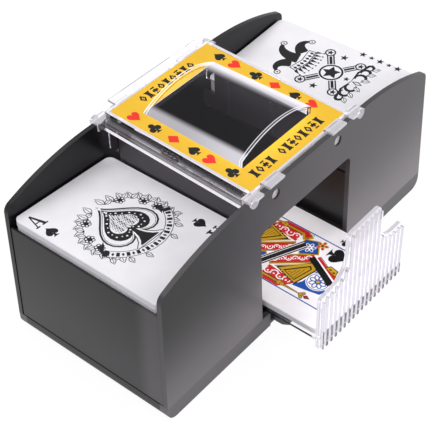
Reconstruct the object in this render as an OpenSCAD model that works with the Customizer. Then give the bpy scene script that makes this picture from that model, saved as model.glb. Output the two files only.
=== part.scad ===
// Table-top automatic card shuffler.
// Two decks lie in the end trays, rubber rollers feed them inwards under two gates,
// and the cards drop into a drawer that slides out of the front panel.
// X runs along the housing, Y towards the back panel, Z up; the origin is on the
// table surface under the middle of the housing.

/* [Housing] */
// Length over the base
body_l = 210; // [208:1:214]
// Width over the base
body_w = 97.4; // [97:0.2:99]
// Height of the straight middle of the side panels
body_h = 89; // [88:0.5:90]
// Draft of the two ends, inwards and upwards
lean_x = 2.2; // [1.8:0.1:2.4]
// Draft of the two sides
lean_y = 0.8; // [0.6:0.1:1]
// Thickness of a side panel
panel_t = 2.6; // [2.2:0.2:3]
// Length of the straight middle of the panel's top edge
arch_flat = 90; // [84:1:96]
// Radius of the arcs that fall away to both ends
arch_r = 150; // [145:1:165]
// Radius of the rounded end of the panel's top edge
horn_r = 5; // [3:0.5:7]
// Height of the end walls
wall_h = 66.5; // [64:0.5:68]
// Thickness of the end walls
wall_t = 1.3; // [1.2:0.1:1.5]

/* [Base] */
// Height of the base pan's rim
pan_h = 9.4; // [9:0.2:10.4]
// Radius of the pan's rounded lower ends
pan_r = 6; // [4:0.5:7]
// Thickness of the rubber pads let into the underside
pad_t = 0.9; // [0.6:0.1:1.2]
// Width of the finger notch under the drawer
notch_w = 58; // [54:1:62]
// How far the tongue under the drawer reaches out
tongue_out = 8.4; // [5:0.2:10]

/* [Cards] */
// Width of a playing card
card_w = 63.5; // [63:0.5:63.5]
// Length of a playing card
card_l = 88.9; // [88:0.1:88.9]
// Corner radius of a playing card
card_r = 3.2; // [2:0.2:4]
// Thickness of the deck in the left tray
left_deck_t = 12.6; // [4:0.2:16]
// Thickness of the deck in the right tray
right_deck_t = 16.4; // [4:0.2:20]
// Thickness of the cards lying in the drawer
drawer_deck_t = 3.7; // [0.6:0.1:20]
// Slope of the tray floors down towards the middle
tray_tilt = 3.4; // [2:0.2:4]

/* [Drawer] */
// Width of the opening in the front panel
opening_w = 70.6; // [70:0.2:72]
// Height of the opening's top edge above the table
opening_top = 65.8; // [62:0.2:67]
// How far the drawer stands open at rest
drawer_out = 30; // [0.4:0.2:60]
// Width of the drawer's front plate
plate_w = 67.2; // [66:0.2:68]
// Height of the front plate's shoulders
plate_h = 43; // [34:1:44]
// Height of the front plate's finger tab
tab_h = 68; // [60:0.5:70]
// Width of the finger tab
tab_w = 26; // [20:1:28]
// Ribs on the front plate
rib_count = 19; // [9:2:25]

/* [Cover] */
// Slope of the cover down towards the drawer
cover_tilt = 3.3; // [2.8:0.1:3.6]
// Length of the printed insert
insert_l = 85; // [84:0.5:85.5]
// Width of the printed insert
insert_w = 71.4; // [70:0.2:72]
// Length of the arched window
window_l = 60; // [56:1:64]
// Width of the arched window
window_w = 52; // [46:1:54]
// Radius of the arched window
window_r = 50; // [44:1:60]

/* [Drive] */
// Radius of the rubber feed rollers
roller_r = 12; // [11:0.5:12]
// Distance of the roller shafts from the middle of the housing
roller_x = 52; // [52:0.5:54]
// Diameter of the roller shafts
shaft_d = 3; // [2.5:0.5:3]
// Gear module, in millimetres of pitch diameter a tooth
gear_m = 0.8; // [0.8]
// Teeth on the roller gear
roller_teeth = 19; // [19]
// Teeth on the idler's small gear
idler_small_teeth = 12; // [12]
// Teeth on the idler's large gear
idler_large_teeth = 24; // [24]
// Teeth on the motor pinion
pinion_teeth = 10; // [10]

/* [Button] */
// Diameter of the push button
button_d = 12; // [10:0.5:14]
// Distance of the button from the middle of the housing
button_x = 93; // [92:0.5:93]
// Height of the button above the table
button_z = 34; // [32:1:40]

/* [Hidden] */
$fn = 64;
hl = body_l / 2;
hw = body_w / 2;
inner = hw - panel_t;            // inner face of a side panel, at the rim
pan_floor = 2;                   // top of the pan's floor
slope = tan(tray_tilt);
fit = 0.3;                       // gap between pieces that pass each other
lead_d = 1.2;                    // wiring

recess = 0.3;                    // end walls stand behind the panels' ends
deck_x = end_x(wall_h) - recess - wall_t - fit;  // outer edge of a tray deck
deck_in = deck_x - card_w * cos(tray_tilt);
deck_z = 58.5;                   // underside of a tray deck at its outer edge
gate_x = deck_in - 0.8;          // tray side of a gate
gate_t = 2;
gate_w = 75;
gate_top = 80.6;
chamber_x = gate_x - 1;          // inner face of a chamber wall
chamber_t = 1.6;

roller_w = 12;                   // width of a rubber roller
roller_y = 22;                   // its distance from the middle
shaft_z = deck_z - (deck_x - roller_x) * slope - fit - roller_r;
idler_dir = 230;                 // from the roller shaft to the idler, in the XZ plane
motor_dir = 195;                 // from the idler to the motor
idler_r = gear_m * (roller_teeth + idler_small_teeth) / 2;
motor_r = gear_m * (idler_large_teeth + pinion_teeth) / 2;
idler_at = [-roller_x + idler_r * cos(idler_dir), shaft_z + idler_r * sin(idler_dir)];
motor_at = idler_at + motor_r * [cos(motor_dir), sin(motor_dir)];
plate_y = 30;                    // motor side of a drive plate
plate_t = 1.6;
screw_x = 6.5;                   // motor screws, either side of the spindle
boss_y = 41;                     // inner end of the bearing bosses
seat_y = 44.8;                   // bottom of the bores in them
bush_d = 7;
running = 0.03;                  // radial clearance of a turning fit

drawer_floor = 13.9;             // underside of the drawer's floor
floor_t = 1.4;
drawer_w = 66;
face_y = -hw - fit - drawer_out;  // inner face of the front plate
face_t = 2;
rib_d = 2;
drawer_back = face_y + 91.8;

cover_top = 90.9;
cover_t = 1.4;
cover_y = side_y(cover_top) - panel_t - fit - 0.5;
lid_z = 91.75;                   // height of the cover in the middle
// middle of the window's arch, whose upright sides vanish at the back
arch_z = lid_z + window_l / 2 * tan(cover_tilt) - sqrt(pow(window_r, 2) - pow(window_w / 2, 2));
skirt_x = insert_w / 2 + 2;      // outer face of the upper skirt
ledge_x = skirt_x + 2.1;
skirt_z = 80.2;                  // bottom of the skirts
gate_low = 72;                   // bottom of the cover's corner legs
lip_y = 49.4;                    // edge of the cover's lip over the back panel
snap_x = 24;                     // snap bosses and their holes
snap_z = 82.5;
snap_hole_d = 5.6;
cell_d = 14.5;
cell_l = 50.5;
cell_pitch = 14.6;
box_x = -69.5;                   // middle of the battery box
box_l = 61.2;
box_w = 59.2;
cell_z = 3.1 + cell_d / 2;
lug_at = [box_x + 8, -35.3];     // battery door's screw
lug_top = 5;
lug_bore = 2.6;                  // its counterbore
rebate = 1.2;                    // depth of the rebate the door lies in
post_x = 92;                     // case screw posts
post_y = 41;
// where the leads cross the chamber: y and z
lead_holes = [[-1, 5], [3, 8], [33, 6]];

// ---- helpers ----

// Everything with two hands is drawn on the left and mirrored for the right.
module hand(side) { mirror([side > 0 ? 1 : 0, 0, 0]) children(); }

// A box from its lowest to its highest corner.
module block(low, high) { translate(low) cube(high - low); }

// A flat outline in X and Z, given its span along Y.
module along_y(y0, y1) { translate([0, y1, 0]) rotate([90, 0, 0]) linear_extrude(y1 - y0) children(); }

// A flat outline in Y and Z, given its span along X.
module along_x(x0, x1) { translate([x0, 0, 0]) rotate([90, 0, 90]) linear_extrude(x1 - x0) children(); }

// A round bar along Y through the point [x, z].
module bar(at, y0, y1, d) { along_y(y0, y1) translate(at) circle(d = d); }

// A rectangle with rounded corners, centred on the origin.
module rounded(w, l, r) {
  square([w - 2 * r, l], center = true);
  square([w, l - 2 * r], center = true);
  for (x = [-1, 1], y = [-1, 1]) translate([x * (w / 2 - r), y * (l / 2 - r)]) circle(r);
}

// The panels' end and outer face at a height z, drafted from the rim upwards.
function end_x(z) = hl - (z - pan_h) * tan(lean_x);
function side_y(z) = hw - (z - pan_h) * tan(lean_y);

// The underside of a tray deck at a distance x from the middle of the housing.
function deck_under(x) = deck_z - (deck_x - x) * slope;

// ---- housing ----

// The right half of a side panel's outline, above the base pan.
module half_outline() {
  flat = arch_flat / 2;
  centre = [flat, body_h - arch_r];
  // the round at the end of the arch touches both the arch and the drafted end
  function horn_x(z) = end_x(z) - horn_r / cos(lean_x);
  function horn_z(x) = centre.y + sqrt(pow(arch_r - horn_r, 2) - pow(x - flat, 2));
  horn_at = horn_x(horn_z(horn_x(body_h - 14)));
  horn = [horn_at, horn_z(horn_at)];
  out = (horn - centre) / norm(horn - centre) * 40;
  side = 40 * [cos(lean_x), sin(lean_x)];
  intersection() {
    difference() {
      union() {
        translate([0, pan_h]) square([flat, body_h - pan_h]);
        intersection() {
          translate(centre) circle(arch_r, $fn = 360);
          translate([flat, pan_h]) square([hl, body_h]);
        }
      }
      difference() {
        polygon([horn, horn + out, horn + out + side, horn + side]);
        translate(horn) circle(horn_r);
      }
    }
    polygon([[0, pan_h], [hl, pan_h], [end_x(body_h), body_h], [0, body_h]]);
  }
}

module panel_outline() { for (m = [0, 1]) mirror([m, 0]) half_outline(); }

// What lies between the two side panels' inner faces.
module between() {
  top = side_y(100) - panel_t;
  along_x(-hl, hl) polygon([[-inner, 0], [-inner, pan_h], [-top, 100], [top, 100], [inner, pan_h], [inner, 0]]);
}

// The shell that both side panels share, drawn as the back one: plate, snap holes,
// bearing bosses and screw posts.
module side_panel() {
  difference() {
    union() {
      intersection() {
        along_y(inner - 5, hw + 1) panel_outline();
        along_x(-hl - 1, hl + 1) polygon([[inner, pan_h], [hw, pan_h], [side_y(100), 100], [side_y(100) - panel_t, 100]]);
      }
      for (s = [-1, 1]) {
        bar([s * roller_x, shaft_z], boss_y, inner + 0.5, bush_d + 4);
        translate([s * post_x, post_y, pan_h]) cylinder(d = 7, h = 13);
        block([s * post_x - 0.8, post_y, pan_h], [s * post_x + 0.8, inner + 0.3, pan_h + 13]);
      }
    }
    for (s = [-1, 1]) {
      bar([s * roller_x, shaft_z], boss_y - 1, seat_y, bush_d);
      bar([s * snap_x, snap_z], inner - 3, hw + 1, snap_hole_d);
      translate([s * post_x, post_y, pan_h - 1]) cylinder(d = 2.6, h = 11);
    }
  }
}

module front_panel() {
  r = 3;
  color("#5c5b5e") difference() {
    mirror([0, 1, 0]) side_panel();
    along_y(-hw - 1, -inner + 4) {
      translate([-opening_w / 2, 0]) square([opening_w, opening_top - r]);
      translate([-opening_w / 2 + r, 0]) square([opening_w - 2 * r, opening_top]);
      for (s = [-1, 1]) translate([s * (opening_w / 2 - r), opening_top - r]) circle(r);
    }
  }
}

module back_panel() {
  color("#262629") difference() {
    union() {
      side_panel();
      for (s = [-1, 1]) bar([s * idler_at.x, idler_at.y], boss_y, inner + 0.5, 6);
    }
    for (s = [-1, 1]) bar([s * idler_at.x, idler_at.y], boss_y - 1, seat_y, 2.5);
    bar([button_x, button_z], inner - 3, hw + 1, button_d + 0.8);
  }
}

module end_wall() {
  low = end_x(pan_h) - recess;
  high = end_x(wall_h) - recess;
  shelf = deck_under(deck_x) - 3.3;
  color("#454346") intersection() {
    between();
    union() {
      along_y(-hw, hw) polygon([[-low, pan_h], [-high, wall_h], [-high + wall_t, wall_h], [-low + wall_t, pan_h]]);
      // a ledge that carries the outer end of the tray floor
      block([-deck_x - 1, -20, shelf - 3], [-deck_x + 2.5, 20, shelf]);
    }
  }
}

module pan_outline() {
  translate([-hl, pan_r]) square([body_l, pan_h - pan_r]);
  translate([-hl + pan_r, 0]) square([body_l - 2 * pan_r, pan_r]);
  intersection() {
    for (s = [-1, 1]) translate([s * (hl - pan_r), pan_r]) circle(pan_r);
    translate([-hl, 0]) square([body_l, pan_h]);
  }
}

module base_pan() {
  color("#7d7a7e") difference() {
    union() {
      difference() {
        along_y(-hw, hw) pan_outline();
        block([-hl + 1.6, -inner, pan_floor], [hl - 1.6, inner, pan_h + 1]);
        // finger notch, through the front wall above the floor
        block([-notch_w / 2, -hw - 1, pan_floor], [notch_w / 2, -inner + 1, pan_h + 1]);
        block([-notch_w / 2, -hw - 1, -1], [notch_w / 2, -hw + 0.7, pan_h + 1]);
      }
      // tongue that steadies the drawer when it is pulled out
      translate([-25, 0, 0]) rotate([90, 0, 90]) linear_extrude(50)
        polygon([[-inner, 0], [-hw - tongue_out / 2, 0], [-hw - tongue_out, 2.4],
                 [-hw - tongue_out, 4.8], [-inner, 4.8]]);
      for (x = [-post_x, post_x], y = [-post_y, post_y])
        translate([x, y, 1]) cylinder(d = 8, h = pan_h - 1);
      translate([lug_at.x, lug_at.y, 1]) cylinder(d = 11, h = 12);
    }
    for (x = [-post_x, post_x], y = [-post_y, post_y]) translate([x, y, -1]) {
      cylinder(d = 6, h = pan_h - 2);
      cylinder(d = 3.2, h = pan_h + 2);
    }
    for (x = [-78, 78], y = [-37, 37]) translate([x, y, -1]) cylinder(d = 9.4, h = 1 + pad_t);
    // battery opening, with a rebate for the door
    block([box_x - 28.9, -26.6, -1], [box_x + 28.9, 26.6, pan_floor + 1]);
    block([box_x - 30.3, -28.6, -1], [box_x + 30.3, 28.6, rebate]);
    translate([lug_at.x, lug_at.y, -1]) { cylinder(d = 8.6, h = lug_top + 1.2); cylinder(d = 2.2, h = 13); }
    block([lug_at.x - 4.3, lug_at.y, -1], [lug_at.x + 4.3, -28, rebate]);
  }
}

module rubber_feet() {
  color("#1d1d1f") for (x = [-78, 78], y = [-37, 37])
    translate([x, y, 0]) cylinder(d = 9, h = pad_t);
}

// A cross-headed screw standing on its head.
module screw(head_d, shank_d, length) {
  difference() {
    union() {
      cylinder(d = head_d, h = 2.4);
      cylinder(d = shank_d, h = length);
    }
    for (a = [0, 90]) rotate(a) translate([-1.6, -0.4, -1]) cube([3.2, 0.8, 2]);
  }
}

module case_screws() {
  color("#c9c9cd") {
    for (x = [-post_x, post_x], y = [-post_y, post_y]) translate([x, y, pan_h - 5.4]) screw(5.4, 2.6, 15);
    translate([lug_at.x, lug_at.y, lug_bore - 2.4]) screw(5, 2.2, 11);
  }
}

// ---- trays, chamber and gates ----

module tray_floor() {
  in_x = chamber_x + chamber_t;
  top = deck_under(deck_x) - 1.3;
  drop = (deck_x - in_x) * slope;
  color("#1b1b1e") difference() {
    union() {
      intersection() {
        between();
        along_y(-hw, hw) polygon([[-deck_x - 0.2, top + 0.2 * slope], [-in_x, top - drop],
                                  [-in_x, top - drop - 1.8], [-deck_x - 0.2, top - 1.8]]);
      }
      for (y = [-34, 0, 34]) along_y(y - 0.8, y + 0.8)
        polygon([[-deck_x + 1, top], [-deck_x + 1, top + 0.94], [-roller_x - 16, top + 1 - (deck_x - roller_x - 16) * slope],
                 [-roller_x - 15, top - (deck_x - roller_x - 15) * slope - 0.5], [-deck_x + 1, top - 0.5]]);
    }
    for (y = [-roller_y, roller_y])
      block([-roller_x - 9, y - 7, 40], [-roller_x + 9, y + 7, 60]);
  }
}

module chamber_wall() {
  top = deck_under(chamber_x) - 1.6;
  in_lip = drawer_w / 2 - 0.6;
  run_y = inner - 0.2;
  color("#1b1b1e") {
    difference() {
      intersection() {
        between();
        block([-chamber_x - chamber_t, -inner, pan_floor], [-chamber_x, inner, top]);
      }
      for (p = lead_holes) translate([-chamber_x - chamber_t - 1, p[0], p[1]]) rotate([0, 90, 0])
        cylinder(d = lead_d + 1, h = chamber_t + 2);
    }
    // channel that the drawer's floor runs in
    block([-chamber_x, -run_y, drawer_floor - 2], [-in_lip, run_y, drawer_floor - fit]);
    block([-chamber_x, -run_y, drawer_floor - 2], [-drawer_w / 2 - fit, run_y, drawer_floor + floor_t + 1.5]);
    block([-chamber_x, -run_y, drawer_floor + floor_t + fit], [-in_lip, run_y, drawer_floor + floor_t + 1.5]);
  }
}

module gate() {
  bottom = deck_under(deck_in) + 0.7;
  color("#3a393c") {
    difference() {
      union() {
        block([-gate_x, -gate_w / 2, bottom], [-gate_x + gate_t, gate_w / 2, gate_top]);
        intersection() {
          between();
          block([-gate_x, -inner, bottom], [-gate_x + gate_t, inner, bottom + 9]);
        }
      }
      // relief at the foot lets a single card pass
      for (s = [-1, 1]) block([-gate_x - 1, s * 14 - 9, bottom - 1], [-gate_x + gate_t + 1, s * 14 + 9, bottom + 0.8]);
    }
    // ribs on the chamber side
    for (y = [-28, 0, 28]) block([-gate_x + gate_t, y - 0.8, bottom + 2], [-gate_x + gate_t + 1.6, y + 0.8, gate_top - 3]);
  }
}

// ---- cards ----

module tray_deck(t) {
  color("#f3f0f4") intersection() {
    translate([-(deck_x + deck_in) / 2, 0, 40]) linear_extrude(60) rounded(deck_x - deck_in, card_l, card_r);
    along_y(-card_l, card_l)
      polygon([[-deck_x - 1, deck_z + slope], [-deck_in + 1, deck_under(deck_in - 1)],
               [-deck_in + 1, deck_under(deck_in - 1) + t], [-deck_x - 1, deck_z + slope + t]]);
  }
}

module drawer_deck() {
  color("#f3f0f4") translate([0, face_y + 0.3 + card_l / 2, drawer_floor + floor_t])
    linear_extrude(drawer_deck_t) rounded(card_w, card_l, card_r);
}

// ---- drawer ----

module plate_outline(inset = 0) {
  r = (plate_w - tab_w) / 2 - 7.5;
  low = 9.6;
  w = plate_w - 2 * inset;
  translate([-w / 2, low]) square([w, plate_h - 2 - low - inset]);
  translate([-w / 2 + 2, low]) square([w - 4, plate_h - low - inset]);
  for (s = [-1, 1]) translate([s * (w / 2 - 2), plate_h - 2 - inset]) circle(2);
  difference() {
    translate([-tab_w / 2 - r, plate_h - 1 - inset]) square([tab_w + 2 * r, r + 1 + inset]);
    for (s = [-1, 1]) translate([s * (tab_w / 2 + r), plate_h + r]) circle(r + inset);
  }
  translate([-tab_w / 2 + inset, plate_h]) square([tab_w - 2 * inset, tab_h - plate_h - 3]);
  translate([-tab_w / 2 + 3, plate_h]) square([tab_w - 6, tab_h - plate_h - inset]);
  for (s = [-1, 1]) translate([s * (tab_w / 2 - 3), tab_h - 3]) circle(3 - inset);
}

module drawer() {
  pitch = (plate_w - 1.2) / (rib_count - 1);
  color("#e9eef2", 0.35) {
    along_y(face_y - face_t, face_y) plate_outline();
    intersection() {
      along_y(face_y - face_t - rib_d, face_y - face_t) plate_outline(0.8);
      for (i = [0:rib_count - 1])
        translate([(i - (rib_count - 1) / 2) * pitch - 0.6, face_y - face_t - rib_d, 0]) cube([1.2, rib_d, 100]);
    }
    block([-drawer_w / 2, face_y, drawer_floor], [drawer_w / 2, drawer_back, drawer_floor + floor_t]);
    block([-drawer_w / 2 + 2, drawer_back - 1.4, drawer_floor + floor_t], [drawer_w / 2 - 2, drawer_back, 22]);
    // gussets that stiffen the front plate, under the floor
    for (s = [-1, 1]) along_x(s * 28 - 0.7, s * 28 + 0.7)
      polygon([[face_y, 10.2], [face_y + 5, drawer_floor], [face_y, drawer_floor]]);
  }
}

// ---- cover ----

// An arch between upright sides, for a radius and half the width.
module window_outline(r, half) {
  intersection() {
    translate([0, arch_z]) circle(r, $fn = 180);
    translate([-half, 80]) square([2 * half, 30]);
  }
}

// The cover slopes down towards the drawer, so its top is drawn level and then tipped.
module tipped() { translate([0, 0, lid_z]) rotate([cover_tilt, 0, 0]) translate([0, 0, -cover_top]) children(); }

// Height of the cover's top at a distance y from the middle.
function lid_top(y) = lid_z + y * tan(cover_tilt);

// The moulded top plate with its stepped skirts over the trays.
module lid() {
  y = cover_y;
  difference() {
    union() {
      block([-skirt_x, -y, cover_top - cover_t], [skirt_x, y, cover_top]);
      // lip that hangs over the back panel
      block([-30, y - 0.5, cover_top - 1.2], [34, lip_y, cover_top]);
    }
    block([-window_w / 2, -window_l / 2, 80], [window_w / 2, window_l / 2, 100]);
    block([-insert_w / 2 - 0.1, -insert_l / 2 - 0.1, cover_top - 0.5], [insert_w / 2 + 0.1, insert_l / 2 + 0.1, 100]);
  }
  for (m = [0, 1]) mirror([m, 0, 0]) {
    low = skirt_z + m * 1.4;
    block([-skirt_x, -y, 86], [-skirt_x + 1.4, y, cover_top]);
    block([-ledge_x, -y, 86], [-skirt_x + 1.4, y, 87.2]);
    block([-ledge_x, -y, 84.9], [-ledge_x + 1.2, y, 87.2]);
    block([-skirt_x - 0.5, -y, low], [-skirt_x + 0.9, y, 86.5]);
    block([-skirt_x - 0.9, -y, low], [-skirt_x + 0.9, y, low + 1.2]);
    // grip in the middle
    for (k = [0:3]) block([-ledge_x + 0.2, -2.8 + k * 2.8, 87], [-skirt_x + 0.1, -1.2 + k * 2.8, 89.2]);
    block([-ledge_x + 0.2, -2.8, 87], [-skirt_x + 0.1, 7.2, 88.2]);
  }
  for (x = [-9, 8], n = [0, 1]) mirror([0, n, 0])
    block([x - 0.6, y - 3, cover_top - 4], [x + 0.6, y, cover_top - 0.6]);
}

module cover() {
  y = cover_y;
  color("#eef2f5", 0.3) difference() {
    union() {
      tipped() lid();
      for (n = [0, 1]) mirror([0, n, 0]) {
        top = lid_top(n == 0 ? y : -y);
        for (m = [0, 1]) mirror([m, 0, 0]) {
          ear();
          block([-skirt_x + 0.7, gate_w / 2 + 0.5, gate_low], [-skirt_x + 1.9, y - 0.2, top - 4]);
        }
        // snap tabs behind the side panels, with a boss in each hole
        for (s = [-1, 1]) {
          block([s * snap_x - 5.5, y - 1.4, snap_z - 4], [s * snap_x + 5.5, y, top - 0.6]);
          bar([s * snap_x, snap_z], y - 0.1, side_y(snap_z) - 1, snap_hole_d - 0.4);
          block([s * snap_x - 5.5, y - 1.2, min(top - 1, body_h)], [s * snap_x + 5.5, y, body_h + fit + 1.2]);
          block([s * snap_x - 5.5, y - 0.2, body_h + fit], [s * snap_x + 5.5, side_y(body_h) + 0.9, body_h + fit + 1.2]);
        }
      }
    }
    for (s = [-1, 1], n = [0, 1]) mirror([0, n, 0]) bar([s * snap_x, snap_z], y - 3, side_y(snap_z) - 1.8, 2.6);
  }
}

// A corner ear that hooks over the top edge of a side panel.
module ear() {
  low = body_h + fit;
  out = skirt_x + 5.6;
  face = side_y(body_h - 3) + fit;
  block([-out, cover_y - 0.5, low], [-out + 9, face + 1.1, low + 1.2]);
  along_y(face, face + 1.1) {
    translate([-out + 2.6, low - 0.2]) circle(2.6);
    translate([-out, low]) square([9, 1.2]);
  }
  block([-out, cover_y - 1.2, 86], [-skirt_x + 0.5, cover_y, low + 1.2]);
}

// The window's crest is level, so its sides grow taller towards the drawer.
module cover_window() {
  half = window_w / 2;
  far = window_l / 2 * cos(cover_tilt);
  color("#eef2f5", 0.3) intersection() {
    tipped() block([-half, -window_l / 2, cover_top - cover_t], [half, window_l / 2, cover_top + 20]);
    union() {
      along_y(-far - 1, far + 1) difference() {
        window_outline(window_r, half);
        window_outline(window_r - 1.3, half - 1.3);
      }
      for (s = [-1, 1]) along_y(s * (far - 0.8) - 0.6, s * (far - 0.8) + 0.6) window_outline(window_r, half);
    }
  }
}

module cover_insert() {
  color("#f2c230") tipped() translate([0, 0, cover_top - 0.47]) linear_extrude(0.42) difference() {
    square([insert_w, insert_l], center = true);
    square([window_w + 0.4, window_l + 0.4], center = true);
  }
}

// ---- batteries, switch and button ----

module battery_box() {
  color("#1b1b1e") difference() {
    block([box_x - box_l / 2, -box_w / 2, pan_floor], [box_x + box_l / 2, box_w / 2, cell_z + cell_d / 2 + 1.6]);
    block([box_x - box_l / 2 + 0.9, -box_w / 2 + 1.2, 0], [box_x + box_l / 2 - 0.9, box_w / 2 - 1.2, cell_z + cell_d / 2 + 0.3]);
  }
}

module battery_door() {
  color("#202023") difference() {
    union() {
      block([box_x - 30.1, -28.4, 0.05], [box_x + 30.1, 28.4, rebate]);
      block([box_x - 28.7, -26.4, rebate], [box_x + 28.7, 26.4, pan_floor]);
      translate([lug_at.x, lug_at.y, 0.05]) cylinder(d = 8.2, h = lug_top - 0.05);
      block([lug_at.x - 4.1, lug_at.y, 0.05], [lug_at.x + 4.1, -28, rebate]);
    }
    translate([lug_at.x, lug_at.y, -1]) { cylinder(d = 5.4, h = 1 + lug_bore); cylinder(d = 2.2, h = lug_top + 2); }
    for (i = [-3:3]) block([box_x - 8, i * 1.8 + 16.6, -1], [box_x + 8, i * 1.8 + 17.4, 0.5]);
  }
}

module batteries() {
  for (i = [0:3]) {
    flip = i % 2 == 0 ? 1 : -1;
    at = [box_x + (i - 1.5) * cell_pitch, cell_z];
    color("#3d6fa8") bar(at, -cell_l / 2 + (flip > 0 ? 0 : 1.2), cell_l / 2 - (flip > 0 ? 1.2 : 0), cell_d - 0.3);
    color("#d8d8da") bar(at, flip > 0 ? cell_l / 2 - 1.2 : -cell_l / 2, flip > 0 ? cell_l / 2 : -cell_l / 2 + 1.2, 5.4);
  }
}

module battery_contacts() {
  face = box_w / 2 - 1.2;
  color("#c9c9cd") for (i = [0:3], s = [-1, 1]) {
    flip = i % 2 == 0 ? 1 : -1;
    x = box_x + (i - 1.5) * cell_pitch;
    block([x - 5, s > 0 ? face - 0.5 : -face, cell_z - 5], [x + 5, s > 0 ? face : -face + 0.5, cell_z + 5]);
    // a coil spring bears on the flat end of each cell, a stud on the other
    if (s != flip) translate([x, s * (face - 0.5), cell_z]) rotate([90 * s, 0, 0]) rotate_extrude()
      for (k = [0:4]) translate([4.2 - k * 0.42, 0.25 + k * 0.5]) circle(0.36, $fn = 16);
    else bar([x, cell_z], s > 0 ? cell_l / 2 + 0.05 : -face + 0.4, s > 0 ? face - 0.4 : -cell_l / 2 - 0.05, 4.4);
  }
}

module switch_body() {
  color("#2a2a2d") {
    block([button_x - 6, 24, button_z - 6], [button_x + 6, 34, button_z + 6]);
    block([button_x - 7, 22.4, pan_floor], [button_x + 7, 24, button_z + 6]);
    bar([button_x, button_z], 34, 36.4, 5);
  }
  color("#c9c9cd") for (x = [-3, 3]) block([button_x + x - 0.4, 19, button_z - 2], [button_x + x + 0.4, 22.4, button_z + 2]);
}

module push_button() {
  stop = side_y(button_z + button_d) - panel_t - fit;
  color("#b3262a") {
    bar([button_x, button_z], stop - 0.5, hw + 2.4, button_d);
    bar([button_x, button_z], stop - 1.4, stop, button_d + 3);
    bar([button_x, button_z], 38.8, stop - 1, 4);
  }
}

// ---- feed drive ----

// Involute gear in the XZ plane, one tooth centred on the direction turn.
function inv(a) = tan(a) * 180 / PI - a;
module gear_outline(teeth, turn) {
  rp = gear_m * teeth / 2;
  rb = rp * cos(20);
  ra = rp + 0.85 * gear_m;
  rf = rp - 1.15 * gear_m;
  half = 90 / teeth * 0.86;
  low = max(rb, rf);
  flank = [for (k = [0:4]) let (r = low + (ra - low) * k / 4) [r, half + inv(20) - inv(acos(rb / r))]];
  tooth = concat([[rf, flank[0][1] * 0.96]], flank);
  points = [for (t = [0:teeth - 1]) let (c = turn + t * 360 / teeth)
    each concat([for (p = tooth) p[0] * [cos(c - p[1]), sin(c - p[1])]],
                [for (k = [len(tooth) - 1:-1:0]) tooth[k][0] * [cos(c + tooth[k][1]), sin(c + tooth[k][1])]])];
  polygon(points);
}

module gear(at, teeth, turn, y0, y1, bore) {
  along_y(y0, y1) translate(at) difference() { gear_outline(teeth, turn); circle(d = bore); }
}

module roller_shaft() {
  color("#cfcfd3") bar([-roller_x, shaft_z], -seat_y + fit, seat_y - fit, shaft_d);
}

module feed_rollers() {
  color("#2b2b2d") for (s = [-1, 1]) difference() {
    bar([-roller_x, shaft_z], s * roller_y - roller_w / 2, s * roller_y + roller_w / 2, 2 * roller_r);
    bar([-roller_x, shaft_z], s * roller_y - roller_w, s * roller_y + roller_w, shaft_d);
    for (e = [-1, 1]) translate([-roller_x, s * roller_y + e * roller_w / 2, shaft_z]) rotate([90, 0, 0])
      difference() { cylinder(r = roller_r - 3, h = 4, center = true); cylinder(d = shaft_d + 5, h = 4, center = true); }
    for (k = [0:17]) translate([-roller_x, s * roller_y, shaft_z]) rotate([0, k * 20, 0])
      translate([roller_r - 0.4, -roller_w, -0.5]) cube([2, 2 * roller_w, 1]);
  }
}

module roller_gear() {
  color("#e8e6df") {
    gear([-roller_x, shaft_z], roller_teeth, idler_dir, 32.8, 36.6, shaft_d);
    along_y(31.9, 32.8) translate([-roller_x, shaft_z]) difference() { circle(d = 6.4); circle(d = shaft_d); }
  }
}

module idler_gear() {
  bore = 2.5 + 2 * running;
  color("#e8e6df") {
    gear(idler_at, idler_small_teeth, idler_dir + 180 + 180 / idler_small_teeth, 32.4, 37.2, bore);
    gear(idler_at, idler_large_teeth, motor_dir, 37.2, 40, bore);
  }
}

module idler_pin() {
  color("#cfcfd3") bar(idler_at, plate_y, seat_y - 0.2, 2.5);
}

module spindle() {
  color("#cfcfd3") bar(motor_at, plate_y - 6, 41.4, 2);
}

module pinion() {
  color("#e8e6df") gear(motor_at, pinion_teeth, motor_dir + 180 + 180 / pinion_teeth, 36.4, 40.6, 2);
}

module motor() {
  color("#b9babd") difference() {
    union() {
      along_y(plate_y - 25, plate_y) translate(motor_at) intersection() { circle(d = 20); square([22, 15], center = true); }
      bar(motor_at, plate_y, plate_y + plate_t, 6);
      bar(motor_at, plate_y - 27, plate_y - 25, 9);
    }
    bar(motor_at, plate_y - 6.2, plate_y + plate_t + 1, 2 + 2 * running);
  }
  color("#c9c9cd") for (s = [-1, 1]) block([motor_at.x + s * 6 - 1, plate_y - 28, motor_at.y - 0.3],
                                           [motor_at.x + s * 6 + 1, plate_y - 25, motor_at.y + 0.3]);
}

module drive_plate() {
  color("#34343a") difference() {
    union() {
      block([motor_at.x - 11, plate_y, pan_floor], [motor_at.x + 11, plate_y + plate_t, motor_at.y + 9]);
      block([motor_at.x + 8, plate_y, motor_at.y - 12], [-roller_x + 8, plate_y + plate_t, shaft_z + 6]);
      block([motor_at.x - 11, plate_y, pan_floor], [motor_at.x + 11, plate_y + 8, pan_floor + 1.6]);
    }
    bar([-roller_x, shaft_z], plate_y - 1, plate_y + 3, shaft_d + 2);
    bar(idler_at, plate_y - 1, plate_y + 3, 2.5);
    bar(motor_at, plate_y - 1, plate_y + 3, 6);
    for (s = [-1, 1]) bar(motor_at + [s * screw_x, 0], plate_y - 1, plate_y + 3, 1.8);
  }
}

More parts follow.
